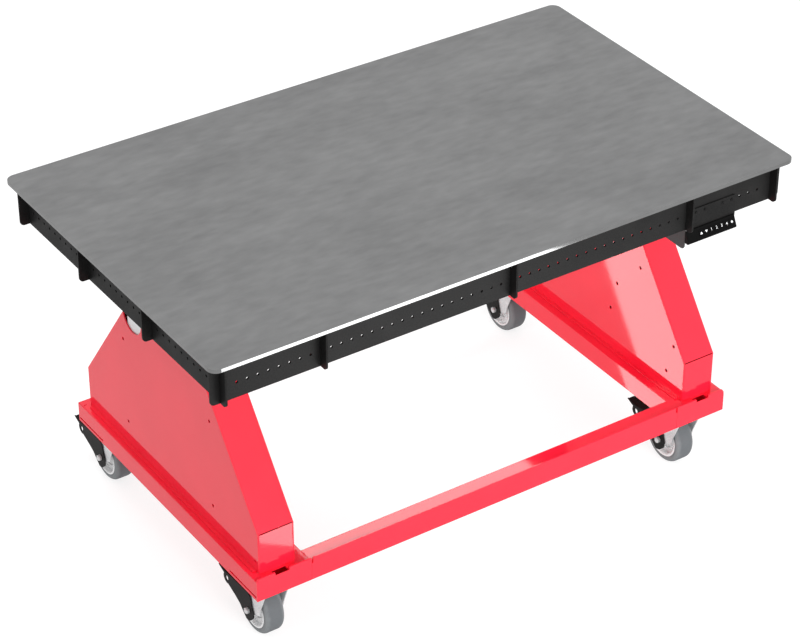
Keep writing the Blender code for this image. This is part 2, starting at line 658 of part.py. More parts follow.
def build_column(side_name):
    """Three nested tubes on a foot plate, and the head plate that the rib grid rests on."""
    middle_x = SIDES[side_name] * PEDESTAL_CENTRE_X
    step = 2 * (TUBE_WALL + TUBE_CLEARANCE)
    outer_name = side_name + "_outer_tube"
    outer_mesh = tube_mesh(outer_name, OUTER_TUBE_WIDTH, OUTER_TUBE_DEPTH, OUTER_TUBE_LENGTH)
    outer = add_part(outer_name, outer_mesh, COLUMN_GREY, (middle_x, 0, COLUMN_FOOT))
    foot_size = (OUTER_TUBE_WIDTH - 2 * TUBE_CLEARANCE, COLUMN_FOOT_DEPTH, COLUMN_FOOT_THICKNESS)
    foot_height = COLUMN_FOOT + COLUMN_FOOT_THICKNESS / 2
    foot_mesh = box_mesh("column_foot", foot_size)
    foot = add_cutter(side_name + "_column_foot", foot_mesh, (middle_x, 0, foot_height))
    combine(outer, foot, "UNION")

    stage_foot = COLUMN_FOOT + COLUMN_FOOT_THICKNESS + SEAT_GAP
    middle_length = OUTER_TUBE_LENGTH + MIDDLE_TUBE_STAND - COLUMN_FOOT_THICKNESS
    inner_length = COLUMN_TOP - stage_foot
    width, depth = OUTER_TUBE_WIDTH - step, OUTER_TUBE_DEPTH - step
    middle_name, inner_name = side_name + "_middle_tube", side_name + "_inner_tube"
    middle_mesh = tube_mesh(middle_name, width, depth, middle_length)
    inner_mesh = tube_mesh(inner_name, width - step, depth - step, inner_length)
    add_part(middle_name, middle_mesh, COLUMN_GREY, (middle_x, 0, stage_foot))
    add_part(inner_name, inner_mesh, COLUMN_GREY, (middle_x, 0, stage_foot))

    plate_name = side_name + "_head_plate"
    plate_mesh = box_mesh(plate_name, (HEAD_PLATE_WIDTH, HEAD_PLATE_DEPTH, HEAD_PLATE_THICKNESS))
    plate_at = Vector((middle_x, 0, HEAD_PLATE_BOTTOM + HEAD_PLATE_THICKNESS / 2))
    plate = add_part(plate_name, plate_mesh, BLACK_PAINT, plate_at)
    screw = bolt_mesh("head_screw", HEAD_PLATE_THICKNESS / 2 - BOLT_END)
    head_up = Matrix.Rotation(pi, 4, "X")
    corners = rectangle(HEAD_SCREW_SPACING_X, HEAD_SCREW_SPACING_Y)
    seats = [Matrix.Translation((x, y, 0)) @ head_up for x, y in corners]
    screws = group_mesh(plate_name + "_screws", [(screw, seat) for seat in seats])
    screw_at = plate_at + Vector((0, 0, HEAD_PLATE_THICKNESS / 2))
    combine(plate, add_cutter(plate_name + "_screws", screws, screw_at), "UNION")


def build_motor(side_name):
    """The lift's gear motor, against the column's rear face and under the pedestal's rear flange."""
    name = side_name + "_lift_motor"
    front = OUTER_TUBE_DEPTH / 2 + SEAT_GAP
    rear = flange_inside(MOTOR_TOP_HEIGHT) - MOTOR_REAR_GAP
    width = PEDESTAL_WIDTH - 2 * (PEDESTAL_SHEET + MOTOR_SIDE_GAP)
    mesh = rounded_box_mesh(name, (width, rear - front, MOTOR_HEIGHT), MOTOR_EDGE)
    height = PEDESTAL_FOOT + MOTOR_TOP_HEIGHT - MOTOR_HEIGHT / 2
    add_part(name, mesh, MOTOR_GREY, (SIDES[side_name] * PEDESTAL_CENTRE_X, (front + rear) / 2, height))


def build_control_box():
    """A sheet plate on the right rib's outer side, hanging below it, and the control box it carries."""
    plate_x = CROSS_RIB_SPACING + RIB_THICKNESS / 2 + SEAT_GAP
    front = -FRONT_RIB_Y + RIB_THICKNESS / 2 + SEAT_GAP
    low, high = -CONTROL_PLATE_DROP, CONTROL_PLATE_RISE
    corner = CONTROL_PLATE_CORNER
    outline = arc((corner, low + corner), corner, 180, 270, 5)
    outline += [(CONTROL_PLATE_LENGTH, low), (CONTROL_PLATE_LENGTH, high), (0, high)]
    mesh = outline_mesh("control_plate", [outline], CONTROL_PLATE_THICKNESS)
    place_at = (plate_x + CONTROL_PLATE_THICKNESS / 2, front, RIB_BOTTOM)
    add_part("control_plate", mesh, SHEET_GREY, place_at, IN_YZ)

    size = (CONTROL_BOX_WIDTH, CONTROL_BOX_LENGTH, CONTROL_BOX_HEIGHT)
    box_x = plate_x + CONTROL_PLATE_THICKNESS + SEAT_GAP + CONTROL_BOX_WIDTH / 2
    box_at = (box_x, front + CONTROL_PLATE_LENGTH / 2, RIB_BOTTOM + CONTROL_BOX_HEIGHT / 2)
    add_part("control_box", rounded_box_mesh("control_box", size, CONTROL_BOX_EDGE), BLACK_PLASTIC, box_at)


def bracket_hole_places():
    """The rib holes that the bracket is bolted to, counted outwards from the right rib."""
    return [CROSS_RIB_SPACING + RIB_HOLE_PITCH * count for count in BRACKET_HOLES]


def build_bracket():
    """A plate on the front rib, bolted through the rib's holes, that reaches down behind the handset."""
    centre_x = CROSS_RIB_SPACING + BRACKET_OFFSET
    hole_height = RIB_BOTTOM + RIB_HOLE_HEIGHT
    top, bottom = hole_height + BRACKET_RISE, HANDSET_TOP - HANDSET_HEIGHT
    mesh = box_mesh("handset_bracket", (BRACKET_WIDTH, BRACKET_THICKNESS, top - bottom))
    plate_y = HANDSET_BACK_Y + SEAT_GAP + BRACKET_THICKNESS / 2
    bracket = add_part("handset_bracket", mesh, BLACK_PAINT, (centre_x, plate_y, (top + bottom) / 2))
    bolt = bolt_mesh("bracket_bolt", BRACKET_THICKNESS + RIB_THICKNESS + SEAT_GAP)
    face = Vector((0, HANDSET_BACK_Y + SEAT_GAP, hole_height))
    into_rib = Matrix.Rotation(-pi / 2, 4, "X")
    bolts = [(bolt, Matrix.Translation((x, 0, 0)) @ into_rib) for x in bracket_hole_places()]
    combine(bracket, add_cutter("bracket_bolts", group_mesh("bracket_bolts", bolts), face), "UNION")


def button_places():
    """Button centres on the handset's sloped face, at the face's own surface."""
    row_length = BUTTON_PITCH * (len(BUTTON_NAMES) - 1)
    first = CROSS_RIB_SPACING + HANDSET_OFFSET + BUTTON_ROW_OFFSET - row_length / 2
    face_y = HANDSET_BACK_Y - (HANDSET_TOP_DEPTH + HANDSET_BOTTOM_DEPTH) / 2
    face_z = HANDSET_TOP - HANDSET_FACE_DROP / 2
    return [Vector((first + BUTTON_PITCH * index, face_y, face_z)) for index in range(len(BUTTON_NAMES))]


def build_handset():
    """A wedge-shaped case whose face looks up and forwards, with a pocket for each button."""
    section = [
        (0, 0),
        (-HANDSET_TOP_DEPTH, 0),
        (-HANDSET_BOTTOM_DEPTH, -HANDSET_FACE_DROP),
        (HANDSET_CHIN - HANDSET_BOTTOM_DEPTH, -HANDSET_HEIGHT),
        (0, -HANDSET_HEIGHT),
    ]
    mesh = outline_mesh("handset_case", [section], HANDSET_WIDTH)
    place_at = (CROSS_RIB_SPACING + HANDSET_OFFSET, HANDSET_BACK_Y, HANDSET_TOP)
    case = add_part("handset_case", mesh, BLACK_PLASTIC, place_at, IN_YZ)

    face_turn = Matrix.Rotation(-HANDSET_TILT, 4, "X")
    inward = face_turn @ Vector((0, 1, 0))
    pocket_depth = BUTTON_THICKNESS - BUTTON_PROUD + BUTTON_TRAVEL + SEAT_GAP
    pocket_size = (BUTTON_WIDTH + 2 * SEAT_GAP, 2 * pocket_depth, BUTTON_HEIGHT + 2 * SEAT_GAP)
    pocket = box_mesh("button_pocket", pocket_size)
    pockets = [(pocket, Matrix.Translation(spot) @ face_turn) for spot in button_places()]
    combine(case, add_cutter("button_pockets", group_mesh("button_pockets", pockets)))

    sink = BUTTON_THICKNESS / 2 - BUTTON_PROUD
    for name, spot in zip(BUTTON_NAMES, button_places()):
        button = box_mesh(name + "_button", (BUTTON_WIDTH, BUTTON_THICKNESS, BUTTON_HEIGHT))
        add_part(name + "_button", button, BLACK_PLASTIC, spot + inward * sink, (-HANDSET_TILT, 0, 0))


def fork_mesh():
    """A pressed fork about its swivel axis: two legs to the axle, a crown, the raceway and the axle."""
    leg_foot = WHEEL_RADIUS - FORK_EAR_RADIUS
    crown_bottom = FORK_TOP - FORK_CROWN_THICKNESS
    front_view = [
        (-FORK_OUTSIDE, leg_foot - CUT_MARGIN),
        (-FORK_INSIDE, leg_foot - CUT_MARGIN),
        (-FORK_INSIDE, crown_bottom),
        (FORK_INSIDE, crown_bottom),
        (FORK_INSIDE, leg_foot - CUT_MARGIN),
        (FORK_OUTSIDE, leg_foot - CUT_MARGIN),
        (FORK_OUTSIDE, FORK_TOP),
        (-FORK_OUTSIDE, FORK_TOP),
    ]
    depth = 2 * (WHEEL_TRAIL + FORK_CROWN_FRONT + FORK_CROWN_REAR)
    front_mesh = outline_mesh("fork", [front_view], depth)
    fork = place(bpy.data.objects.new("fork", front_mesh), CUTTERS, rotation=IN_XZ)
    ear = arc((WHEEL_TRAIL, WHEEL_RADIUS), FORK_EAR_RADIUS, 250, 380, 5)
    over_top = FORK_TOP + CUT_MARGIN
    side_view = ear + [(FORK_CROWN_REAR + WHEEL_TRAIL / 2, crown_bottom), (FORK_CROWN_REAR, over_top)]
    side_view += [(-FORK_CROWN_FRONT, over_top), (-FORK_CROWN_FRONT, crown_bottom)]
    side_view.append((-FORK_KNEE_FRONT, WHEEL_RADIUS + FORK_KNEE_RISE))
    side_mesh = outline_mesh("fork_side", [side_view], 4 * FORK_OUTSIDE)
    side_tool = add_cutter("fork_side", side_mesh, rotation=IN_YZ)
    combine(fork, side_tool, "INTERSECT")

    raceway_profile = [
        (0, RACEWAY_TOP),
        (RACEWAY_RADIUS, RACEWAY_TOP),
        (RACEWAY_RADIUS, RACEWAY_TOP - RACEWAY_HEIGHT),
        (0, RACEWAY_TOP - RACEWAY_HEIGHT),
    ]
    raceway = add_cutter("raceway", turned_mesh("raceway", raceway_profile, RACEWAY_STEPS, closed=False))
    combine(fork, raceway, "UNION")

    nut_start = PEDAL_OUTSIDE + PEDAL_SIDE_GAP
    nut_end = nut_start + AXLE_NUT_THICKNESS
    half = [(0, nut_end), (AXLE_NUT_RADIUS, nut_end), (AXLE_NUT_RADIUS, nut_start), (AXLE_RADIUS, nut_start)]
    axle_profile = half + [(radius, -height) for radius, height in reversed(half)]
    axle_mesh = turned_mesh("axle", axle_profile, AXLE_STEPS, closed=False)
    axle = add_cutter("axle", axle_mesh, (0, WHEEL_TRAIL, WHEEL_RADIUS), ALONG_X)
    combine(fork, axle, "UNION")

    mesh = finished_mesh(fork)
    for tool in (side_tool, raceway, axle):
        bpy.data.objects.remove(tool, do_unlink=True)
    return mesh


def hub_mesh():
    """A wheel's centre about its axle: a bored boss, a thin web and the rim that the tyre sits on."""
    bore = AXLE_RADIUS + AXLE_CLEARANCE
    rim = TYRE_INNER_RADIUS - SEAT_GAP
    boss, web, edge = HUB_BOSS_WIDTH / 2, HUB_WEB_THICKNESS / 2, HUB_RIM_WIDTH / 2
    half = [(rim, edge), (HUB_RIM_RADIUS, edge), (HUB_RIM_RADIUS, web), (HUB_BOSS_RADIUS, web)]
    half += [(HUB_BOSS_RADIUS, boss), (bore, boss)]
    profile = half + [(radius, -height) for radius, height in reversed(half)]
    return turned_mesh("hub", profile, WHEEL_STEPS, closed=True)


def tyre_mesh():
    """A tyre with rounded shoulders, about its axle."""
    wall = TYRE_WIDTH / 2
    shoulder = TYRE_WIDTH / 5
    inset = TYRE_WIDTH / 14
    inner_wall = HUB_RIM_WIDTH / 2
    half = [
        (WHEEL_RADIUS, wall - shoulder),
        (WHEEL_RADIUS - inset, wall - inset),
        (WHEEL_RADIUS - shoulder, wall),
        (TYRE_INNER_RADIUS, inner_wall),
    ]
    profile = half + [(radius, -height) for radius, height in reversed(half)]
    return turned_mesh("tyre", profile, WHEEL_STEPS, closed=True)


def pedal_mesh():
    """A brake pedal about the axle: an arm on each side of the fork, with an eye, and a tread across."""
    arm = [*PEDAL_LOWER_EDGE, *arc(PEDAL_EYE_CENTRE, PEDAL_EYE_RING, -110, 30, 7)]
    arm += [(PEDAL_REACH, PEDAL_RISE - PEDAL_SHEET), (PEDAL_REACH, PEDAL_RISE), *PEDAL_UPPER_EDGE]
    eye_y, eye_z = PEDAL_EYE_CENTRE
    half_eye = PEDAL_EYE_HEIGHT / 2 - PEDAL_EYE_RADIUS
    eye = arc((eye_y, eye_z + half_eye), PEDAL_EYE_RADIUS, 0, 180, 4)
    eye += arc((eye_y, eye_z - half_eye), PEDAL_EYE_RADIUS, 180, 360, 4)
    bore = circle((0, 0), AXLE_RADIUS + PEDAL_SIDE_GAP, AXLE_STEPS)
    arm_mesh = outline_mesh("pedal_arm", [arm, bore, eye], PEDAL_SHEET)
    arm_x = (PEDAL_INSIDE + PEDAL_OUTSIDE) / 2
    turn = Matrix.Rotation(pi / 2, 4, "Z") @ Matrix.Rotation(pi / 2, 4, "X")
    arms = group_mesh("pedal", [(arm_mesh, Matrix.Translation((x, 0, 0)) @ turn) for x in (-arm_x, arm_x)])
    pedal = place(bpy.data.objects.new("pedal", arms), CUTTERS)

    inset = PEDAL_SHEET / 2
    rear = (PEDAL_REACH - inset, PEDAL_RISE - PEDAL_SHEET)
    front = (PEDAL_REACH - PEDAL_TREAD_LENGTH, PEDAL_RISE - PEDAL_TREAD_FALL)
    tread = [(front[0], front[1] - PEDAL_SHEET), (rear[0], rear[1] - PEDAL_SHEET), rear, front]
    tread_mesh = outline_mesh("tread", [tread], 2 * arm_x)
    tool = add_cutter("tread", tread_mesh, rotation=IN_YZ)
    combine(pedal, tool, "UNION")
    mesh = finished_mesh(pedal)
    bpy.data.objects.remove(tool, do_unlink=True)
    return mesh


def build_casters():
    """Four casters alike, each about an empty on its swivel axis at the floor, trailing to the rear."""
    fork, hub, tyre, pedal = fork_mesh(), hub_mesh(), tyre_mesh(), pedal_mesh()
    axle_at = (0, WHEEL_TRAIL, WHEEL_RADIUS)
    for name, (x, y) in caster_places().items():
        swivel = add_empty(name + "_swivel", (x, y, 0))
        add_part(name + "_fork", fork, ZINC, parent=swivel)
        add_part(name + "_hub", hub, WHEEL_WHITE, axle_at, ALONG_X, swivel)
        add_part(name + "_tyre", tyre, GREY_RUBBER, axle_at, ALONG_X, swivel)
        add_part(name + "_pedal", pedal, BLACK_PAINT, axle_at, parent=swivel)


build_top()
build_ribs()
for side_name in SIDES:
    build_rail(side_name)
    build_pedestal(side_name)
    build_column(side_name)
    build_motor(side_name)
build_beam("front_beam", -1, lip_rise=END_WALL_RISE)
build_beam("rear_beam", 1, lip_rise=0)
build_caster_plates()
build_control_box()
build_bracket()
build_handset()
build_casters()
bpy.context.view_layer.update()
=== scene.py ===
"""The looks of an adjustable height welding table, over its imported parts.

Metres, +Z up, the handset at the front (-Y). Each piece is modelled where its part lies, rides on that
part's body and takes one of the finishes below.
"""

from math import atan2, cos, pi, radians, sin

import bpy
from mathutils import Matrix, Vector


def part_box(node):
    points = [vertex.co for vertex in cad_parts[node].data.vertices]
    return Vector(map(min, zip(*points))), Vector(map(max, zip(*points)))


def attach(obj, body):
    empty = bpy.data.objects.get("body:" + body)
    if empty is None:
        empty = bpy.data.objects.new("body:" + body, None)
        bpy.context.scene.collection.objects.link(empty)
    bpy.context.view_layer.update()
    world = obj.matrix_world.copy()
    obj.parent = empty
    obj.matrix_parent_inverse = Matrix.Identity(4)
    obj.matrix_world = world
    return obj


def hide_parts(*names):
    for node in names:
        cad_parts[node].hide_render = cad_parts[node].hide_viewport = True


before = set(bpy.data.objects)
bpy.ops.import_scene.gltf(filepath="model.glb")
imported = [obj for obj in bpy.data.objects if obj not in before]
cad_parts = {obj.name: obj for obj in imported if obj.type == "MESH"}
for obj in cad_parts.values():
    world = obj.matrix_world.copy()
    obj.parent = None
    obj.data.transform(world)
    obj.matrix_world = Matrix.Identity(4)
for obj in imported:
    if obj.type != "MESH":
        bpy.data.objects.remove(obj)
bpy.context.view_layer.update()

TINY = 1e-5
REACH = 0.02
SMOOTH_ANGLE = radians(35)
FACING = 0.9
FINE_EDGE = 0.0004
FLAT_EDGE = 0.0006

# Table top and ribs
PLATE_CORNER = 0.022
PLATE_EDGE = 0.0006
RIB_THICKNESS = 0.0048
RIB_SLOT_PLAY = 0.0006
RIB_CORNER = 0.010
RIB_HOLE_RADIUS = 0.0032
RIB_HOLE_DROP = 0.064
RIB_HOLE_PITCH = 0.0254
RIB_HOLE_CLEAR = 0.020
RIB_EDGE = 0.0004
CROSS_RIB_PLACES = {
    "left_end_rib": -0.7239, "left_rib": -0.4826, "centre_rib": 0.0,
    "right_rib": 0.4826, "right_end_rib": 0.7239,
}
LONG_RIB_PLACES = {
    "front_rib": -0.4191, "front_inner_rib": -0.1397, "rear_inner_rib": 0.1397, "rear_rib": 0.4191,
}

# Base
RAIL_SHEET = 0.0048
RAIL_FOLD = 0.0030
END_WALL_RISE = 0.0085
END_WALL_CORNER = 0.012
END_WALL_ROUND = 0.0009
END_NOTCH = (0.5644, 0.6004)
END_NOTCH_DEPTH = 0.007
END_NOTCH_RELIEF = 0.013
END_NOTCH_SKIN = 0.0008
LIP_RELIEF = (0.004, 0.006)
REAR_SLIT = (0.0225, 0.0205)
PAD_LENGTH = 0.1175
PAD_THICKNESS = 0.00635
PAD_SLOT = 0.005
SHEET_EDGE = 0.0005
BEAM_RUN = 0.5

# Pedestals
PANEL_SHEET = 0.003
PANEL_FOLD = 0.0032
SKIRT_HEIGHT = 0.106
PANEL_TOP_HALF = 0.1748
NOTCH_AT = (0.143, 0.6025)
NOTCH_RADIUS = 0.042
PANEL_HOLE_RADIUS = 0.0042
PANEL_HOLES = [(y, z) for y in (-0.191, 0.191) for z in (0.2888, 0.5178)]
DRAIN_SLIT = ((-0.3735, 0.2492), (-0.3625, 0.2524))
COVER_HOLES = [(-0.3211, 0.2777), (-0.0999, 0.3353), (-0.1207, 0.4151), (-0.3419, 0.3575), (-0.2044, 0.5032)]
BEND_SEAM = 0.0022
SEAM_UNDERCUT = 0.005
FOOT_BEAD = (0.0085, 0.0026)
FOOT_BEAD_END = 0.370

# Columns and motors
COLUMN_X = 0.5824
TUBE_WALL = 0.003
OUTER_TUBE = (0.080, 0.120)
OUTER_TUBE_TOP = 0.6938
FOOT_THICKNESS = 0.006
FOOT_CORNER = 0.006
FOOT_PLAY = 0.0005
FOOT_SCREWS = [(x, y) for x in (-0.026, 0.026) for y in (-0.0725, 0.0725)]
TUBE_CORNERS = {"outer": 0.008, "middle": 0.0055, "inner": 0.0035}
GLIDE_HEIGHT = 0.004
GLIDE_PLAY = 0.0004
SCREW_HEAD_RADIUS = 0.0065
SCREW_HEAD_HEIGHT = 0.005
SCREW_SOCKET_FLOOR = 0.002
SCREW_EDGE = 0.0005
HEAD_SCREWS = [(x, y) for x in (-0.047, 0.047) for y in (-0.080, 0.080)]
HEAD_PLATE_THICKNESS = 0.006
HEAD_PLATE_CORNER = 0.010
MOTOR_LID = 0.004
MOTOR_LID_INSET = 0.0006
MOTOR_CORNER = 0.002
MOTOR_EDGE = 0.0008
MOTOR_SCREW_INSET = 0.012
MOTOR_SCREW_RADIUS = 0.0032
MOTOR_SCREW_RISE = 0.0012
MOTOR_CAP_RADIUS = 0.030
MOTOR_CAP_SINK, MOTOR_CAP_DROP = 0.002, 0.010
MOTOR_CAP_RIM, MOTOR_CAP_GROOVE = 0.006, 0.010
MOTOR_CAP_SLOPE, MOTOR_CAP_STEP = 0.001, 0.003

# Control box and its hanging plate
HANGING_CORNER = 0.012
HANGING_SCREW_HALF_GAP = 0.060
HANGING_SCREW_DROP = 0.004
HANGING_SCREW_RADIUS = 0.003
HANGING_SCREW_RISE = 0.0002
BOX_CORNER = 0.005
BOX_EDGE = 0.0008
VENT_COUNT = 12
VENT_START, VENT_PITCH, VENT_WIDTH = 0.030, 0.007, 0.0025
VENT_MARGIN, VENT_DEPTH = 0.012, 0.002
SOCKET_COUNT = 3
SOCKET_START, SOCKET_PITCH, SOCKET_WIDTH = 0.010, 0.015, 0.011
SOCKET_DEPTH = 0.008
SOCKET_BOTTOM, SOCKET_TOP = 0.016, 0.030

# Casters
CASTER_X, CASTER_Y = 0.57785, 0.34175
AXLE_HEIGHT = 0.0635
AXLE_TRAIL = 0.038
AXLE_RADIUS = 0.005
WHEEL_RADIUS = 0.0635
TYRE_INSIDE = 0.0482
TYRE_HALF_WIDTH = 0.0245
HUB_HALF_WIDTH = 0.0240
FORK_INSIDE, FORK_OUTSIDE = 0.0285, 0.0315
FORK_TOP, CROWN_BOTTOM = 0.1554, 0.1494
RACEWAY_TOP = 0.1664
PEDAL_INSIDE, PEDAL_OUTSIDE = 0.0320, 0.0345
NUT_START, NUT_END = 0.0350, 0.0440
FORK_BLANK = (-0.060, 0.120)
FORK_FOOT_DROP = 0.040
FORK_BEND = 0.006
FORK_LEG_END = 0.013
FORK_FRONT_EDGE = [(0.050, 0.105), (0.049, CROWN_BOTTOM), (0.030, FORK_TOP + REACH)]
FORK_REAR_EDGE = [
    (-0.032, FORK_TOP + REACH), (-0.032, CROWN_BOTTOM), (-0.009, 0.092), (-0.006, 0.080), (-0.002, 0.0715),
]
FORK_EDGE = 0.0008
RACEWAY_RADIUS = 0.029
RACEWAY_SINK = 0.004
RACEWAY_GROOVE_MARGIN = 0.0025
RACEWAY_GROOVE_SHARE = 0.93
AXLE_EDGE = 0.0007
AXLE_NUT_RADIUS = 0.008
AXLE_PAST_NUT = 0.0015
HUB_PLAY = 0.0004
HUB_SIDE = [
    (0.0440, HUB_HALF_WIDTH), (0.0425, HUB_HALF_WIDTH - 0.0030), (0.0415, 0.0120),
    (0.0330, 0.0105), (0.0320, 0.0135), (0.0285, 0.0135), (0.0275, 0.0105),
    (0.0165, 0.0120), (0.0150, 0.0250), (0.0140, 0.0260), (0.0052, 0.0260),
]
HUB_SMOOTH_ANGLE = radians(28)
TYRE_SHOULDER = 0.0115
TYRE_SIDE = [
    (0.0515, 0.02440), (0.0509, 0.02400), (0.0503, 0.02440), (0.0488, 0.02420), (TYRE_INSIDE, 0.02370),
]
TYRE_SMOOTH_ANGLE = radians(40)
PEDAL_LOWER_EDGE = [
    (-0.021, -0.003), (-0.0195, -0.014), (-0.003, -0.030), (0.010, -0.033),
    (0.029, -0.016), (0.038, -0.007), (0.058, 0.003),
]
PEDAL_UPPER_EDGE = [(0.098, 0.043), (0.070, 0.046), (0.000, 0.048), (-0.0095, 0.042), (-0.0125, 0.025)]
PEDAL_TREAD = (0.077, 0.031), (0.127, 0.048)
PEDAL_EYE = (0.092, 0.029)
PEDAL_EYE_RING = 0.015
PEDAL_EYE_SLOT_RADIUS, PEDAL_EYE_SLOT_HALF = 0.005, 0.002
PEDAL_CORNER = 0.004
PEDAL_ROUNDED_TO = 0.062
PEDAL_BORE_PLAY = 0.0005
TREAD_START, TREAD_END = 0.0795, 0.1262
TREAD_SINK = 1.4
TREAD_INSET = 0.001
TREAD_EDGE = 0.0007
RIDGES = (0.108, 0.114, 0.120)
RIDGE_SINK = 0.4
RIDGE_HALF_LENGTH, RIDGE_RADIUS = 0.026, 0.0011
CASTER_PLATE_TOP = 0.1717
CASTER_PLATE_THICKNESS = 0.005
CASTER_PLATE_CORNER = 0.008
CASTER_BOLTS = [(x, y) for x in (-0.037, 0.037) for y in (-0.040, 0.040)]
CASTER_BOLT_RADIUS = 0.003
CASTER_BOLT_PAST_NUT = 0.0008
CASTER_HEAD_RADIUS, CASTER_HEAD_SINK = 0.0065, 0.0002
CASTER_NUT_RADIUS, CASTER_NUT_SEAT = 0.0058, 0.1786

# Handset and its bracket
BUTTON_NAMES = ("up", "down", "preset_1", "preset_2", "preset_3", "preset_4", "memory")
HANDSET_TOP_DEPTH, HANDSET_DEPTH = 0.003, 0.016
HANDSET_FACE_HEIGHT = 0.0265
HANDSET_CHIN_DEPTH, HANDSET_HEIGHT = 0.012, 0.031
HANDSET_TILT = atan2(HANDSET_DEPTH - HANDSET_TOP_DEPTH, HANDSET_FACE_HEIGHT)
HANDSET_EDGE = 0.0011
POCKET_HALF_SIZE = Vector((0.0062, 0.0028, 0.0072))
BUTTON_HALF_SIZE = Vector((0.0060, 0.00125, 0.0070))
BUTTON_CORNER = 0.0016
LEGEND_SINK, LEGEND_RISE = 0.0002, 0.00006
LEGEND_EDGE = 0.00003
ARROW_HALF_WIDTH, ARROW_HALF_HEIGHT = 0.0036, 0.0028
DOT_RADIUS = 0.0026
NUMBER_HEIGHT = 0.0095
NUMBER_SINK, NUMBER_THICKNESS = 0.0001, 0.00016
BRACKET_SHEET = 0.0024
BRACKET_GAP = 0.0003
BRACKET_CORNER = 0.006
BRACKET_HOLES = (1, 2, 4, 5)
BOLT_RADIUS = 0.003
BOLT_HEAD_RADIUS = 0.0038
BOLT_HEAD_RISE, BOLT_HEAD_SINK = 0.0016, 0.001
BOLT_SOCKET_RADIUS = 0.0019
BOLT_SOCKET_FLOOR = 0.0006
BOLT_EDGE = 0.0005
BOLT_NUT_RADIUS = 0.0055
BOLT_NUT_GAP = 0.0002
BOLT_PAST_NUT = 0.0008

# Camera
CAMERA_PLACE = (-2.9563, -4.4247, 3.9917)
CAMERA_TURN = (radians(56.283), 0, radians(-33.701))
CAMERA_LENS = 123.88
CAMERA_SENSOR = 36


def deselect_all():
    bpy.ops.object.select_all(action="DESELECT")


def pick(*pieces):
    """Select only these pieces, the first of them active."""
    deselect_all()
    for piece in pieces:
        piece.select_set(True)
    bpy.context.view_layer.objects.active = pieces[0]


def settle(name):
    """Name the piece that was just added and put its place, turn and size into its mesh."""
    piece = bpy.context.active_object
    pick(piece)
    bpy.ops.object.transform_apply(location=True, rotation=True, scale=True)
    piece.name = piece.data.name = name
    return piece


def block(name, low, high):
    low, high = Vector(low), Vector(high)
    deselect_all()
    bpy.ops.mesh.primitive_cube_add(size=1, location=(low + high) / 2, scale=high - low)
    return settle(name)


def rod(name, start, end, radius, sides=32):
    start, end = Vector(start), Vector(end)
    turn = (end - start).to_track_quat("Z", "Y").to_euler()
    deselect_all()
    bpy.ops.mesh.primitive_cylinder_add(
        vertices=sides, radius=radius, depth=(end - start).length, location=(start + end) / 2, rotation=turn
    )
    return settle(name)


def choose(piece, kind, test):
    """Go into edit mode with only the edges, or faces, that pass a test selected."""
    pick(piece)
    bpy.ops.object.mode_set(mode="EDIT")
    bpy.ops.mesh.select_mode(type=kind)
    bpy.ops.mesh.select_all(action="DESELECT")
    bpy.ops.object.mode_set(mode="OBJECT")
    points = piece.data.vertices
    if kind == "EDGE":
        for edge in piece.data.edges:
            edge.select = test(*(points[index].co for index in edge.vertices))
    else:
        for face in piece.data.polygons:
            face.select = test(face.center, face.normal)
    bpy.ops.object.mode_set(mode="EDIT")


def choose_all(piece):
    choose(piece, "FACE", lambda centre, normal: True)


def upright(a, b):
    return abs(a.z - b.z) > TINY


def runs_back(a, b):
    return abs(a.y - b.y) > TINY


def leave_edit():
    bpy.ops.object.mode_set(mode="OBJECT")


def face_outwards(piece):
    choose_all(piece)
    bpy.ops.mesh.normals_make_consistent(inside=False)
    leave_edit()


def round_edges(piece, radius, segments, test):
    choose(piece, "EDGE", test)
    bpy.ops.mesh.bevel(offset=radius, segments=segments, affect="EDGES")
    leave_edit()


def modify(piece, kind, **settings):
    pick(piece)
    bpy.ops.object.modifier_add(type=kind)
    modifier = piece.modifiers[-1]
    for setting, value in settings.items():
        setattr(modifier, setting, value)
    bpy.ops.object.modifier_apply(modifier=modifier.name)


def joined(pieces):
    pick(*pieces)
    bpy.ops.object.join()
    return pieces[0]


def cut(piece, *tools, operation="DIFFERENCE"):
    for tool in tools:
        modify(piece, "BOOLEAN", operation=operation, object=tool, solver="EXACT")
        bpy.data.objects.remove(tool, do_unlink=True)


def soften(piece, width, segments=2):
    """Break every sharp edge a little and keep the flat faces flat."""
    modify(piece, "BEVEL", width=width, segments=segments, limit_method="ANGLE", angle_limit=SMOOTH_ANGLE)
    pick(piece)
    bpy.ops.object.shade_smooth_by_angle(angle=SMOOTH_ANGLE)
    modify(piece, "WEIGHTED_NORMAL", keep_sharp=True)


def copied(piece, name, offset=(0, 0, 0)):
    pick(piece)
    bpy.ops.object.duplicate(linked=False)
    bpy.context.active_object.location = offset
    return settle(name)


def mirrored(piece, name):
    """A copy of a piece on the other side of the table's middle."""
    pick(piece)
    bpy.ops.object.duplicate(linked=False)
    bpy.context.active_object.scale = (-1, 1, 1)
    twin = settle(name)
    face_outwards(twin)
    return twin


def slab(name, outline, axis, start, end):
    """An outline drawn across an axis and pulled out along it."""
    spots = {
        "X": lambda u, v: (start, u, v),
        "Y": lambda u, v: (u, start, v),
        "Z": lambda u, v: (u, v, start),
    }
    pull = {"X": (end - start, 0, 0), "Y": (0, end - start, 0), "Z": (0, 0, end - start)}
    deselect_all()
    bpy.ops.mesh.primitive_circle_add(vertices=len(outline), radius=1, fill_type="NGON")
    piece = settle(name)
    for vertex, (u, v) in zip(piece.data.vertices, outline):
        vertex.co = spots[axis](u, v)
    choose_all(piece)
    bpy.ops.mesh.extrude_region_move(TRANSFORM_OT_translate={"value": pull[axis]})
    leave_edit()
    face_outwards(piece)
    return piece


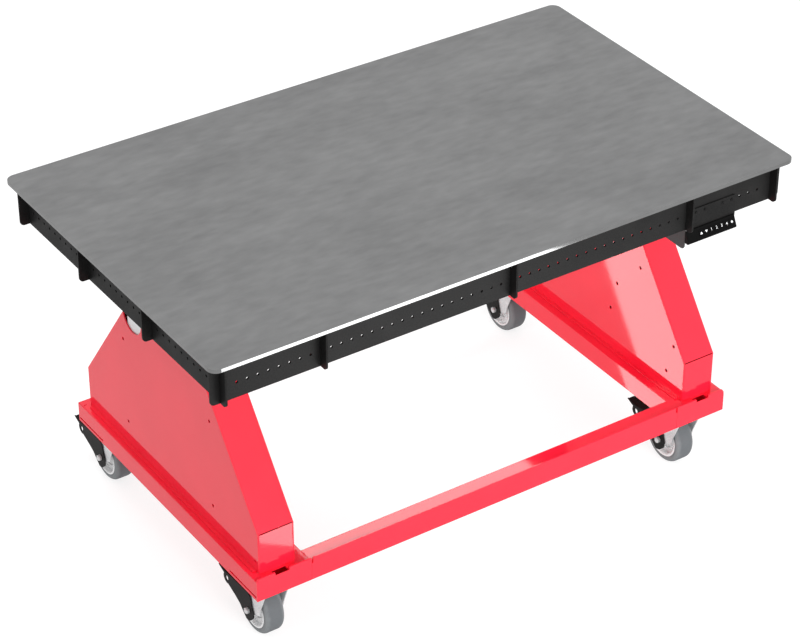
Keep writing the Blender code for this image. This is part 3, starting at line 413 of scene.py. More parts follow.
def turned(name, profile, centre, steps):
    """A ring of (radius, along) points spun about an axle along X."""
    deselect_all()
    bpy.ops.mesh.primitive_circle_add(vertices=len(profile), radius=1, fill_type="NOTHING")
    piece = settle(name)
    for vertex, (radius, along) in zip(piece.data.vertices, profile):
        vertex.co = (centre[0] + along, centre[1], centre[2] + radius)
    choose(piece, "EDGE", lambda start, end: True)
    bpy.ops.mesh.spin(steps=steps, angle=2 * pi, center=centre, axis=(1, 0, 0))
    bpy.ops.mesh.select_all(action="SELECT")
    bpy.ops.mesh.remove_doubles(threshold=TINY)
    leave_edit()
    face_outwards(piece)
    return piece


def arc(centre, radius, start, end, steps):
    angles = [radians(start + (end - start) * step / steps) for step in range(steps + 1)]
    return [(centre[0] + radius * cos(angle), centre[1] + radius * sin(angle)) for angle in angles]


def hex_head(name, start, end, radius):
    head = rod(name, start, end, radius, 6)
    soften(head, radius / 12)
    return head


def dress(piece, body, slot, *nodes):
    """Give a finished piece its finish and its body, and hide the nodes that it stands for."""
    piece.data.materials.clear()
    piece.data.materials.append(FINISHES[slot])
    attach(piece, body)
    if nodes:
        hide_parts(*nodes)


def new_finish(name, metallic, specular=0.5):
    material = bpy.data.materials.new(name + "_finish")
    material.use_nodes = True
    shader = material.node_tree.nodes["Principled BSDF"]
    shader.inputs["Metallic"].default_value = metallic
    shader.inputs["Specular IOR Level"].default_value = specular
    return material, material.node_tree, shader


def grain(tree, scale, stretch=(1, 1, 1), detail=4):
    """Noise on a piece's own coordinates, drawn out along them."""
    coordinates = tree.nodes.new("ShaderNodeTexCoord")
    mapping = tree.nodes.new("ShaderNodeMapping")
    mapping.inputs["Scale"].default_value = stretch
    noise = tree.nodes.new("ShaderNodeTexNoise")
    noise.inputs["Scale"].default_value = scale
    noise.inputs["Detail"].default_value = detail
    tree.links.new(coordinates.outputs["Object"], mapping.inputs["Vector"])
    tree.links.new(mapping.outputs["Vector"], noise.inputs["Vector"])
    return noise.outputs["Fac"]


def mixed(tree, first, second, share):
    mix = tree.nodes.new("ShaderNodeMix")
    mix.inputs["Factor"].default_value = share
    tree.links.new(first, mix.inputs["A"])
    tree.links.new(second, mix.inputs["B"])
    return mix.outputs["Result"]


def tint(tree, shader, factor, dark, light):
    ramp = tree.nodes.new("ShaderNodeValToRGB")
    ramp.color_ramp.elements[0].position = 0.3
    ramp.color_ramp.elements[0].color = (*dark, 1)
    ramp.color_ramp.elements[1].position = 0.7
    ramp.color_ramp.elements[1].color = (*light, 1)
    tree.links.new(factor, ramp.inputs["Fac"])
    tree.links.new(ramp.outputs["Color"], shader.inputs["Base Color"])


def polish(tree, shader, factor, smooth, rough):
    spread = tree.nodes.new("ShaderNodeMapRange")
    spread.inputs["From Min"].default_value = 0.3
    spread.inputs["From Max"].default_value = 0.7
    spread.inputs["To Min"].default_value = smooth
    spread.inputs["To Max"].default_value = rough
    tree.links.new(factor, spread.inputs["Value"])
    tree.links.new(spread.outputs["Result"], shader.inputs["Roughness"])


def relief(tree, shader, height, strength, distance):
    bump = tree.nodes.new("ShaderNodeBump")
    bump.inputs["Strength"].default_value = strength
    bump.inputs["Distance"].default_value = distance
    tree.links.new(height, bump.inputs["Height"])
    tree.links.new(bump.outputs["Normal"], shader.inputs["Normal"])


def smoother_sides(tree, shader, roughness):
    """A lower roughness on the faces that stand upright, such as a plate's sawn edge."""
    geometry = tree.nodes.new("ShaderNodeNewGeometry")
    split = tree.nodes.new("ShaderNodeSeparateXYZ")
    mix = tree.nodes.new("ShaderNodeMix")
    ground = shader.inputs["Roughness"].links[0].from_socket
    tree.links.new(geometry.outputs["True Normal"], split.inputs["Vector"])
    tree.links.new(split.outputs["Z"], mix.inputs["Factor"])
    mix.inputs["A"].default_value = roughness
    tree.links.new(ground, mix.inputs["B"])
    tree.links.new(mix.outputs["Result"], shader.inputs["Roughness"])


def ground_steel():
    """Bare plate with short drawn-out smears, cloudy patches and smoother edges."""
    material, tree, shader = new_finish("ground_steel", 0.9)
    streaks = grain(tree, 1.0, (20, 52, 52), 6)
    clouds = grain(tree, 4.0, (1.0, 2.2, 1), 6)
    worn = mixed(tree, streaks, clouds, 0.5)
    tint(tree, shader, worn, (0.182, 0.183, 0.184), (0.246, 0.247, 0.248))
    polish(tree, shader, worn, 0.42, 0.34)
    smoother_sides(tree, shader, 0.09)
    relief(tree, shader, streaks, 0.05, 0.0002)
    return material


def black_powder_coat():
    material, tree, shader = new_finish("black_powder_coat", 0.0, 0.10)
    speckle = grain(tree, 420, detail=3)
    patches = grain(tree, 14, detail=4)
    mottle = mixed(tree, speckle, patches, 0.35)
    tint(tree, shader, mottle, (0.003, 0.003, 0.0031), (0.021, 0.0206, 0.0203))
    polish(tree, shader, patches, 0.42, 0.56)
    relief(tree, shader, speckle, 0.30, 0.0003)
    return material


def red_gloss():
    """Glossy red coat with a faint orange peel."""
    material, tree, shader = new_finish("red_gloss", 0.0)
    patches = grain(tree, 5, detail=3)
    peel = grain(tree, 260, detail=2)
    tint(tree, shader, patches, (0.86, 0.012, 0.036), (0.93, 0.015, 0.042))
    polish(tree, shader, patches, 0.05, 0.09)
    relief(tree, shader, peel, 0.03, 0.0002)
    return material


def grey_paint(name, dark, light, metallic, scale):
    material, tree, shader = new_finish(name, metallic)
    speckle = grain(tree, scale, detail=3)
    patches = grain(tree, 9, detail=4)
    tint(tree, shader, mixed(tree, speckle, patches, 0.5), dark, light)
    polish(tree, shader, patches, 0.34, 0.5)
    relief(tree, shader, speckle, 0.15, 0.0002)
    return material


def moulded_plastic(name, dark, light, smooth, rough, scale, specular):
    material, tree, shader = new_finish(name, 0.0, specular)
    speckle = grain(tree, scale, detail=2)
    patches = grain(tree, 22, detail=3)
    tint(tree, shader, mixed(tree, speckle, patches, 0.5), dark, light)
    polish(tree, shader, patches, smooth, rough)
    relief(tree, shader, speckle, 0.2, 0.0002)
    return material


def bright_zinc():
    """Plated steel with a soft crystalline mottle."""
    material, tree, shader = new_finish("bright_zinc", 0.75)
    coordinates = tree.nodes.new("ShaderNodeTexCoord")
    crystals = tree.nodes.new("ShaderNodeTexVoronoi")
    crystals.inputs["Scale"].default_value = 220
    tree.links.new(coordinates.outputs["Object"], crystals.inputs["Vector"])
    patches = grain(tree, 30, detail=5)
    mottle = mixed(tree, crystals.outputs["Distance"], patches, 0.6)
    tint(tree, shader, mottle, (0.66, 0.67, 0.68), (0.86, 0.865, 0.87))
    polish(tree, shader, patches, 0.28, 0.42)
    relief(tree, shader, mottle, 0.06, 0.0002)
    return material


def grey_tread_rubber():
    """Tyre rubber with fine moulded rings round it and paler side walls."""
    material, tree, shader = new_finish("grey_tread_rubber", 0.0, 0.35)
    coordinates = tree.nodes.new("ShaderNodeTexCoord")
    rings = tree.nodes.new("ShaderNodeTexWave")
    rings.bands_direction = "X"
    rings.inputs["Scale"].default_value = 130
    rings.inputs["Distortion"].default_value = 0.6
    tree.links.new(coordinates.outputs["Object"], rings.inputs["Vector"])
    dust = grain(tree, 60, detail=5)
    worn = mixed(tree, rings.outputs["Fac"], dust, 0.75)
    split = tree.nodes.new("ShaderNodeSeparateXYZ")
    sidewall = tree.nodes.new("ShaderNodeMath")
    sidewall.operation = "ABSOLUTE"
    tree.links.new(coordinates.outputs["Normal"], split.inputs["Vector"])
    tree.links.new(split.outputs["X"], sidewall.inputs[0])
    shade = mixed(tree, worn, sidewall.outputs["Value"], 0.5)
    tint(tree, shader, shade, (0.118, 0.127, 0.135), (0.215, 0.230, 0.238))
    polish(tree, shader, dust, 0.5, 0.68)
    relief(tree, shader, rings.outputs["Fac"], 0.12, 0.0003)
    return material


FINISHES = {
    "plate_steel": ground_steel(),
    "black_paint": black_powder_coat(),
    "red_paint": red_gloss(),
    "column_grey": grey_paint("column_paint", (0.56, 0.57, 0.57), (0.66, 0.67, 0.67), 0.0, 300),
    "motor_grey": grey_paint("cast_housing", (0.72, 0.73, 0.73), (0.84, 0.85, 0.85), 0.0, 160),
    "sheet_grey": grey_paint("dark_sheet", (0.024, 0.028, 0.029), (0.046, 0.051, 0.052), 0.0, 260),
    "black_plastic": moulded_plastic(
        "handset_plastic", (0.002, 0.002, 0.002), (0.005, 0.005, 0.005), 0.38, 0.5, 700, 0.06
    ),
    "zinc": bright_zinc(),
    "wheel_white": moulded_plastic(
        "wheel_plastic", (0.86, 0.87, 0.875), (0.95, 0.955, 0.96), 0.36, 0.5, 200, 0.4
    ),
    "grey_rubber": grey_tread_rubber(),
}


def make_plate():
    low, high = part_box("table_top")
    plate = block("steel_plate", low, high)
    round_edges(plate, PLATE_CORNER, 10, upright)
    soften(plate, PLATE_EDGE, 3)
    dress(plate, "top", "plate_steel", "table_top")


def hole_row(crossings):
    """Places on the hole pitch, counted from a middle crossing and clear of every crossing."""
    start = crossings[len(crossings) // 2]
    count = round((crossings[-1] - crossings[0]) / RIB_HOLE_PITCH)
    row = [start + RIB_HOLE_PITCH * step for step in range(-count, count + 1)]
    inside = [spot for spot in row if crossings[0] < spot < crossings[-1]]
    return [spot for spot in inside if min(abs(spot - place) for place in crossings) > RIB_HOLE_CLEAR]


def make_rib(node, runs_along_x, crossings, slot_on_top, drilled):
    """A rib half-lapped with those it crosses, its lower corners rounded and its face drilled."""
    low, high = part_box(node)
    rib = block(node + "_bar", low, high)
    across = 1 if runs_along_x else 0
    round_edges(
        rib, RIB_CORNER, 6,
        lambda a, b: abs(a[across] - b[across]) > TINY and max(a.z, b.z) < low.z + TINY,
    )
    middle = (low.z + high.z) / 2
    bottom, top = (middle, high.z + REACH) if slot_on_top else (low.z - REACH, middle)
    half_slot = (RIB_THICKNESS + RIB_SLOT_PLAY) / 2
    tools = []
    for place in crossings:
        ends = [(place - half_slot, low.y - REACH), (place + half_slot, high.y + REACH)]
        if not runs_along_x:
            ends = [(low.x - REACH, place - half_slot), (high.x + REACH, place + half_slot)]
        tools.append(block("slot", (*ends[0], bottom), (*ends[1], top)))
    if drilled:
        height = high.z - RIB_HOLE_DROP
        for spot in hole_row(crossings):
            if runs_along_x:
                drill = (spot, low.y - REACH, height), (spot, high.y + REACH, height)
            else:
                drill = (low.x - REACH, spot, height), (high.x + REACH, spot, height)
            tools.append(rod("drill", *drill, RIB_HOLE_RADIUS, 20))
    cut(rib, joined(tools))
    soften(rib, RIB_EDGE)
    dress(rib, "top", "black_paint", node)


def make_ribs():
    across, along = list(CROSS_RIB_PLACES.values()), list(LONG_RIB_PLACES.values())
    for node in LONG_RIB_PLACES:
        make_rib(node, True, across, True, node in ("front_rib", "rear_rib"))
    for node in CROSS_RIB_PLACES:
        make_rib(node, False, along, False, node in ("left_end_rib", "right_end_rib"))


def pedestal_sheet(name, x, low, high, facing):
    """The pedestal's outline as one flat face, trimmed along its two slopes."""
    deselect_all()
    bpy.ops.mesh.primitive_plane_add(
        size=1, location=(x, 0, (low.z + high.z) / 2), rotation=(pi / 2, 0, facing * pi / 2)
    )
    bpy.context.active_object.scale = (high.y - low.y, high.z - low.z, 1)
    sheet = settle(name)
    bend = low.z + SKIRT_HEIGHT
    run, rise = high.y - PANEL_TOP_HALF, high.z - bend
    for end in (-1, 1):
        choose_all(sheet)
        bpy.ops.mesh.bisect(plane_co=(x, end * high.y, bend), plane_no=(0, end * rise, run), clear_outer=True)
        leave_edit()
    return sheet


def notch_tool(low, high):
    return rod("notch", (low.x - REACH, *NOTCH_AT), (high.x + REACH, *NOTCH_AT), NOTCH_RADIUS, 64)


def panel_drills(x, places):
    return [
        rod("drill", (x - REACH, y, z), (x + REACH, y, z), PANEL_HOLE_RADIUS, 24) for y, z in places
    ]


def make_left_shell():
    """The outer panel and its flanges, folded from one sheet, with a seam across each bend."""
    low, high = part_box("left_pedestal_shell")
    shell = pedestal_sheet("left_shell_sheet", low.x, low, high, -1)
    choose(shell, "EDGE", upright)
    bpy.ops.mesh.extrude_edges_move(TRANSFORM_OT_translate={"value": (high.x - low.x, 0, 0)})
    leave_edit()
    face_outwards(shell)
    round_edges(
        shell, PANEL_FOLD, 5,
        lambda a, b: abs(a.x - low.x) < TINY and abs(b.x - low.x) < TINY and abs(a.z - b.z) > TINY,
    )
    modify(shell, "SOLIDIFY", thickness=PANEL_SHEET, offset=-1, use_even_offset=True)
    bend = low.z + SKIRT_HEIGHT
    for end in (-1, 1):
        edge = end * high.y
        outside, inside = edge + end * REACH / 2, edge - end * REACH / 2
        upper, lower = bend + BEND_SEAM / 2, bend - BEND_SEAM / 2
        under = lower - SEAM_UNDERCUT
        seam = [(outside, upper), (outside, lower), (edge, lower)]
        seam += [(edge - end * PANEL_SHEET, under), (inside, under), (inside, upper)]
        cut(shell, slab("seam", seam, "X", low.x + PANEL_FOLD, high.x + REACH))
    cut(shell, notch_tool(low, high))
    drills = panel_drills(low.x, PANEL_HOLES)
    (slit_y, slit_z), (slit_end_y, slit_end_z) = DRAIN_SLIT
    drills.append(block("slit", (low.x - REACH, slit_y, slit_z), (low.x + REACH, slit_end_y, slit_end_z)))
    cut(shell, joined(drills))
    return shell


def make_left_cover():
    low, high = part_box("left_pedestal_cover")
    cover = pedestal_sheet("left_cover_sheet", high.x, low, high, 1)
    modify(cover, "SOLIDIFY", thickness=PANEL_SHEET, offset=-1)
    cut(cover, notch_tool(low, high))
    cut(cover, joined(panel_drills(low.x, COVER_HOLES)))
    return cover


def foot_bead(x, z, outward):
    """A low weld along the foot of a panel."""
    width, rise = FOOT_BEAD
    start, end = sorted((x - outward * PANEL_SHEET / 2, x + outward * width))
    return block("bead", (start, -FOOT_BEAD_END, z), (end, FOOT_BEAD_END, z + rise))


def make_pedestals():
    shell, cover = make_left_shell(), make_left_cover()
    for piece, kind, outward in ((shell, "shell", -1), (cover, "cover", 1)):
        low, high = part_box(f"left_pedestal_{kind}")
        piece = joined([piece, foot_bead(low.x if outward < 0 else high.x, low.z, outward)])
        twin = mirrored(piece, f"right_{kind}_sheet")
        for sheet, side in ((piece, "left"), (twin, "right")):
            soften(sheet, SHEET_EDGE)
            dress(sheet, "base", "red_paint", f"{side}_pedestal_{kind}")


def make_left_rail():
    """A folded rail, open below, with caster pads and slots over them and a raised front wall."""
    low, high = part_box("left_rail")
    rail = block("left_folded_rail", low, high)
    ledge = high.z - END_WALL_RISE
    front, rear = low.y + RAIL_SHEET, high.y - RAIL_SHEET
    cut(rail, block("ledge", (low.x - REACH, front, ledge), (high.x + REACH, high.y + REACH, high.z + REACH)))
    round_edges(
        rail, RAIL_FOLD, 4,
        lambda a, b: abs(a.z - ledge) < TINY and abs(b.z - ledge) < TINY and max(a.y, b.y) > rear,
    )
    round_edges(
        rail, END_WALL_CORNER, 5,
        lambda a, b: runs_back(a, b) and min(a.z, b.z) > high.z - TINY and a.x < low.x + TINY,
    )
    wall_top = high.z - END_WALL_CORNER - TINY
    round_edges(
        rail, END_WALL_ROUND, 3, lambda a, b: abs(a.y - b.y) < TINY and min(a.z, b.z) > wall_top,
    )
    inner = low.x + RAIL_SHEET, high.x - RAIL_SHEET
    pad_edge, pad_top = high.y - PAD_LENGTH, low.z + PAD_THICKNESS
    slot_top = pad_top + PAD_SLOT
    cut(rail, block("hollow", (inner[0], front, pad_top), (inner[1], rear, ledge - RAIL_SHEET)))
    cut(rail, block("mouth", (inner[0], -pad_edge, low.z - REACH), (inner[1], pad_edge, slot_top)))
    for start, end in ((front, -pad_edge), (pad_edge, rear)):
        cut(rail, block("slot", (low.x - REACH, start, pad_top), (inner[0] + RAIL_SHEET, end, slot_top)))
    slit_low = (low.x + RAIL_FOLD, high.y - REAR_SLIT[0], ledge - 2 * RAIL_SHEET)
    slit_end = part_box("left_pedestal_shell")[0].x - FOOT_BEAD[0]
    cut(rail, block("slit", slit_low, (slit_end, high.y - REAR_SLIT[1], high.z)))
    relief_end = front + END_NOTCH_RELIEF
    notch_low = (-END_NOTCH[1], low.y - REACH, high.z - END_NOTCH_DEPTH)
    notch = block("notch", notch_low, (-END_NOTCH[0], front + TINY, high.z + REACH))
    skin, under = low.y + END_NOTCH_SKIN, ledge - 2 * RAIL_SHEET
    relief = [(skin, under), (relief_end + 2 * RAIL_SHEET, under), (relief_end, ledge + TINY)]
    relief += [(relief_end, high.z), (skin, high.z)]
    cut(rail, notch, slab("relief", relief, "X", -END_NOTCH[1], -END_NOTCH[0]))
    return rail


def make_channel(node, lip_rise):
    """A beam open below, its top folded down on both sides. A lip stands above the front one's top."""
    low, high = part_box(node)
    beam = block(node + "_channel", low, high)
    ledge = high.z - lip_rise
    lip_back = low.y + RAIL_SHEET
    if lip_rise:
        step_high = (high.x + REACH, high.y + REACH, high.z + REACH)
        cut(beam, block("step", (low.x - REACH, lip_back, ledge), step_high))
        round_edges(
            beam, END_WALL_ROUND, 3, lambda a, b: abs(a.x - b.x) > BEAM_RUN and abs(a.z - high.z) < TINY,
        )
    folds = (high.y,) if lip_rise else (low.y, high.y)
    round_edges(
        beam, RAIL_FOLD, 4,
        lambda a, b: abs(a.x - b.x) > BEAM_RUN and abs(a.z - ledge) < TINY
        and min(abs(a.y - fold) for fold in folds) < TINY,
    )
    if lip_rise:
        gap, depth = LIP_RELIEF
        for start, end in ((low.x - REACH, low.x + gap), (high.x - gap, high.x + REACH)):
            cut(beam, block("relief", (start, low.y - REACH, ledge - depth), (end, lip_back, high.z + REACH)))
    hollow_low = (low.x - REACH, lip_back, low.z - REACH)
    cut(beam, block("hollow", hollow_low, (high.x + REACH, high.y - RAIL_SHEET, ledge - RAIL_SHEET)))
    soften(beam, SHEET_EDGE)
    welds = []
    for start, end in ((low.x - RAIL_FOLD, low.x + RAIL_SHEET), (high.x - RAIL_SHEET, high.x + RAIL_FOLD)):
        weld_low = (start, lip_back - TINY, ledge - RAIL_SHEET)
        weld = block("weld", weld_low, (end, high.y - RAIL_FOLD, ledge + TINY))
        soften(weld, SHEET_EDGE)
        welds.append(weld)
    dress(joined([beam, *welds]), "base", "red_paint", node)


def make_base():
    rail = make_left_rail()
    twin = mirrored(rail, "right_folded_rail")
    for piece, node in ((rail, "left_rail"), (twin, "right_rail")):
        soften(piece, SHEET_EDGE)
        dress(piece, "base", "red_paint", node)
    make_channel("front_beam", END_WALL_RISE)
    make_channel("rear_beam", 0)


def make_tube(name, low, high, corner):
    tube = block(name, low, high)
    round_edges(tube, corner, 6, upright)
    choose(tube, "FACE", lambda centre, normal: abs(normal.z) > FACING)
    bpy.ops.mesh.delete(type="FACE")
    leave_edit()
    modify(tube, "SOLIDIFY", thickness=TUBE_WALL, offset=-1, use_even_offset=True)
    soften(tube, FINE_EDGE)
    return tube


def socket_screw(name, x, y, z):
    """A round screw head with a hex socket, standing on a plate at height z."""
    head = rod(name, (x, y, z - TUBE_WALL), (x, y, z + SCREW_HEAD_HEIGHT), SCREW_HEAD_RADIUS)
    cut(head, rod("socket", (x, y, z + SCREW_SOCKET_FLOOR), (x, y, z + REACH), SCREW_HEAD_RADIUS / 2, 6))
    soften(head, SCREW_EDGE)
    return head


def make_column(side, sign):
    """Three nested tubes with glides at their mouths, a foot plate and a head plate with its screws."""
    x = sign * COLUMN_X
    half_x, half_y = OUTER_TUBE[0] / 2, OUTER_TUBE[1] / 2
    foot_low, foot_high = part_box(side + "_outer_tube")
    outer = make_tube(
        side + "_outer_profile", (x - half_x, -half_y, foot_low.z), (x + half_x, half_y, OUTER_TUBE_TOP),
        TUBE_CORNERS["outer"],
    )
    foot_top = foot_low.z + FOOT_THICKNESS
    corner = (foot_low.x + FOOT_PLAY, foot_low.y, foot_low.z)
    foot = block("foot", corner, (foot_high.x - FOOT_PLAY, foot_high.y, foot_top))
    round_edges(foot, FOOT_CORNER, 5, upright)
    soften(foot, FLAT_EDGE)
    screws = [socket_screw("foot_screw", x + dx, dy, foot_top) for dx, dy in FOOT_SCREWS]
    dress(joined([outer, foot, *screws]), "base", "column_grey", side + "_outer_tube")

    for stage, body in (("middle", side + "_middle"), ("inner", "top")):
        low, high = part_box(f"{side}_{stage}_tube")
        tube = make_tube(f"{side}_{stage}_profile", low, high, TUBE_CORNERS[stage])
        dress(tube, body, "column_grey", f"{side}_{stage}_tube")

    for stage, within, body in (("outer", "middle", "base"), ("middle", "inner", side + "_middle")):
        low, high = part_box(f"{side}_{within}_tube")
        play = Vector((GLIDE_PLAY, GLIDE_PLAY, 0))
        rim = Vector((TUBE_WALL, TUBE_WALL, 0))
        mouth = OUTER_TUBE_TOP if stage == "outer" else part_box(side + "_middle_tube")[1].z
        ring_low = Vector((low.x, low.y, mouth)) - play - rim
        ring_high = Vector((high.x, high.y, mouth + GLIDE_HEIGHT)) + play + rim
        glide = make_tube(f"{side}_{stage}_glide", ring_low, ring_high, TUBE_CORNERS[within] + TUBE_WALL)
        dress(glide, body, "black_plastic")

    low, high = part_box(side + "_head_plate")
    plate = block(side + "_head_flange", low, (high.x, high.y, low.z + HEAD_PLATE_THICKNESS))
    round_edges(plate, HEAD_PLATE_CORNER, 6, upright)
    soften(plate, FLAT_EDGE)
    screws = [socket_screw("head_screw", x + dx, dy, low.z + HEAD_PLATE_THICKNESS) for dx, dy in HEAD_SCREWS]
    dress(joined([plate, *screws]), "top", "black_paint", side + "_head_plate")


def make_motor(side):
    """The lift's gear motor: a cast housing with a screwed lid and a round end cap."""
    low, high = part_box(side + "_lift_motor")
    split = high.z - MOTOR_LID
    housing = block(side + "_motor_housing", low, (high.x, high.y, split))
    lid_low = (low.x + MOTOR_LID_INSET, low.y + MOTOR_LID_INSET, split - MOTOR_LID)
    lid = block("lid", lid_low, (high.x - MOTOR_LID_INSET, high.y - MOTOR_LID_INSET, high.z))
    for piece in (housing, lid):
        round_edges(piece, MOTOR_CORNER, 5, upright)
        soften(piece, MOTOR_EDGE, 3)
    screws = []
    for x in (low.x + MOTOR_SCREW_INSET, high.x - MOTOR_SCREW_INSET):
        for y in (low.y + MOTOR_SCREW_INSET, high.y - MOTOR_SCREW_INSET):
            top = high.z + MOTOR_SCREW_RISE
            screw = rod("lid_screw", (x, y, split), (x, y, top), MOTOR_SCREW_RADIUS, 24)
            soften(screw, MOTOR_SCREW_RISE / 3)
            screws.append(screw)
    middle = (low + high) / 2
    cap_start = (middle.x, middle.y, low.z + MOTOR_CAP_SINK)
    cap = rod("end_cap", cap_start, (middle.x, middle.y, low.z - MOTOR_CAP_DROP), MOTOR_CAP_RADIUS, 48)
    choose(cap, "FACE", lambda centre, normal: normal.z < -FACING)
    for width, step in ((MOTOR_CAP_RIM, -MOTOR_CAP_STEP), (MOTOR_CAP_GROOVE, MOTOR_CAP_STEP)):
        bpy.ops.mesh.inset(thickness=width)
        bpy.ops.mesh.inset(thickness=MOTOR_CAP_SLOPE, depth=step)
    leave_edit()
    soften(cap, FLAT_EDGE)
    dress(joined([housing, lid, *screws, cap]), "base", "motor_grey", side + "_lift_motor")


def make_controls():
    """The hanging sheet plate and the control box on it, with its vents and sockets."""
    low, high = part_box("control_plate")
    plate = block("hanging_plate", low, high)
    round_edges(
        plate, HANGING_CORNER, 6,
        lambda a, b: abs(a.x - b.x) > TINY and abs(a.z - low.z) < TINY and abs(a.y - low.y) < TINY,
    )
    soften(plate, FINE_EDGE)
    middle_y, screw_z = (low.y + high.y) / 2, high.z - HANGING_SCREW_DROP
    screws = []
    for y in (middle_y - HANGING_SCREW_HALF_GAP, middle_y + HANGING_SCREW_HALF_GAP):
        tip = (high.x + HANGING_SCREW_RISE, y, screw_z)
        screws.append(hex_head("plate_screw", (high.x - TINY, y, screw_z), tip, HANGING_SCREW_RADIUS))
    dress(joined([plate, *screws]), "top", "sheet_grey", "control_plate")

    low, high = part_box("control_box")
    case = block("control_case", low, high)
    round_edges(case, BOX_CORNER, 5, runs_back)
    vents = []
    for step in range(VENT_COUNT):
        y = low.y + VENT_START + VENT_PITCH * step
        vent_high = (high.x - VENT_MARGIN, y + VENT_WIDTH, low.z + VENT_DEPTH)
        vents.append(block("vent", (low.x + VENT_MARGIN, y, low.z - REACH), vent_high))
    cut(case, joined(vents))
    sockets = []
    for step in range(SOCKET_COUNT):
        x = low.x + SOCKET_START + SOCKET_PITCH * step
        socket_high = (x + SOCKET_WIDTH, high.y + REACH, low.z + SOCKET_TOP)
        sockets.append(block("socket", (x, high.y - SOCKET_DEPTH, low.z + SOCKET_BOTTOM), socket_high))
    cut(case, joined(sockets))
    soften(case, BOX_EDGE, 3)
    dress(case, "top", "black_plastic", "control_box")


def make_bracket():
    """The handset's bracket on the front rib, its corners rounded, held by four low round heads."""
    low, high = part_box("handset_bracket")
    rib_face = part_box("front_rib")[0].y
    back = rib_face - BRACKET_GAP
    front = back - BRACKET_SHEET
    plate = block("handset_hanger", (low.x, front, low.z), (high.x, back, high.z))
    round_edges(plate, BRACKET_CORNER, 5, lambda a, b: runs_back(a, b) and abs(a.z - high.z) < TINY)
    soften(plate, FINE_EDGE)
    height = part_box("front_rib")[1].z - RIB_HOLE_DROP
    bolts = []
    for hole in BRACKET_HOLES:
        x = CROSS_RIB_PLACES["right_rib"] + RIB_HOLE_PITCH * hole
        head_start, head_end = front - BOLT_HEAD_RISE, front + BOLT_HEAD_SINK
        head = rod("button_head", (x, head_start, height), (x, head_end, height), BOLT_HEAD_RADIUS)
        floor = (x, front - BOLT_SOCKET_FLOOR, height)
        cut(head, rod("socket", (x, front - REACH, height), floor, BOLT_SOCKET_RADIUS, 6))
        soften(head, BOLT_EDGE)
        shank = rod("shank", (x, front, height), (x, high.y, height), BOLT_RADIUS, 20)
        nut_start, nut_end = rib_face + RIB_THICKNESS + BOLT_NUT_GAP, high.y - BOLT_PAST_NUT
        nut = hex_head("nut", (x, nut_start, height), (x, nut_end, height), BOLT_NUT_RADIUS)
        bolts += [head, shank, nut]
    dress(joined([plate, *bolts]), "top", "black_paint", "handset_bracket")


def tilted(piece, centre):
    """Lean a piece back with the handset's face, about a point."""
    choose_all(piece)
    bpy.ops.transform.rotate(value=HANDSET_TILT, orient_axis="X", center_override=centre)
    leave_edit()
    return piece


def button_centre(name):
    low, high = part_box(name + "_button")
    return (low + high) / 2


def make_handset():
    """A wedge-shaped case with a sunk row of buttons."""
    low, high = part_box("handset_case")
    back, top = high.y, high.z
    wedge = [
        (back, top),
        (back - HANDSET_TOP_DEPTH, top),
        (back - HANDSET_DEPTH, top - HANDSET_FACE_HEIGHT),
        (back - HANDSET_CHIN_DEPTH, top - HANDSET_HEIGHT),
        (back, top - HANDSET_HEIGHT),
    ]
    case = slab("handset_wedge", wedge, "X", low.x, high.x)
    soften(case, HANDSET_EDGE, 3)
    pockets = []
    for name in BUTTON_NAMES:
        centre = button_centre(name)
        pocket = block("pocket", centre - POCKET_HALF_SIZE, centre + POCKET_HALF_SIZE)
        pockets.append(tilted(pocket, centre))
    cut(case, joined(pockets))
    dress(case, "top", "black_plastic", "handset_case")

    for name in BUTTON_NAMES:
        centre = button_centre(name)
        button = block(name + "_key", centre - BUTTON_HALF_SIZE, centre + BUTTON_HALF_SIZE)
        round_edges(button, BUTTON_CORNER, 4, runs_back)
        soften(button, FINE_EDGE)
        dress(tilted(button, centre), name + "_button", "black_plastic", name + "_button")
        make_legend(name, centre)


def make_legend(name, centre):
    """A thin white mark on a button: an arrow, a number or a dot."""
    face = centre.y - BUTTON_HALF_SIZE.y
    sunk, proud = face + LEGEND_SINK, face - LEGEND_RISE
    if name in ("up", "down"):
        point = ARROW_HALF_HEIGHT if name == "up" else -ARROW_HALF_HEIGHT
        left, right = centre.x - ARROW_HALF_WIDTH, centre.x + ARROW_HALF_WIDTH
        outline = [(left, centre.z - point), (centre.x, centre.z + point), (right, centre.z - point)]
        mark = slab(name + "_legend", outline, "Y", sunk, proud)
    elif name == "memory":
        mark = rod(name + "_legend", (centre.x, sunk, centre.z), (centre.x, proud, centre.z), DOT_RADIUS)
    else:
        deselect_all()
        place = (centre.x, face + NUMBER_SINK, centre.z)
        bpy.ops.object.text_add(location=place, rotation=(pi / 2, 0, 0))
        text = bpy.context.active_object
        text.data.body = name[-1]
        text.data.size = NUMBER_HEIGHT
        text.data.align_x, text.data.align_y = "CENTER", "CENTER"
        text.data.extrude = NUMBER_THICKNESS
        bpy.ops.object.convert(target="MESH")
        mark = settle(name + "_legend")
    soften(mark, LEGEND_EDGE, 1)
    dress(tilted(mark, centre), name + "_button", "wheel_white")


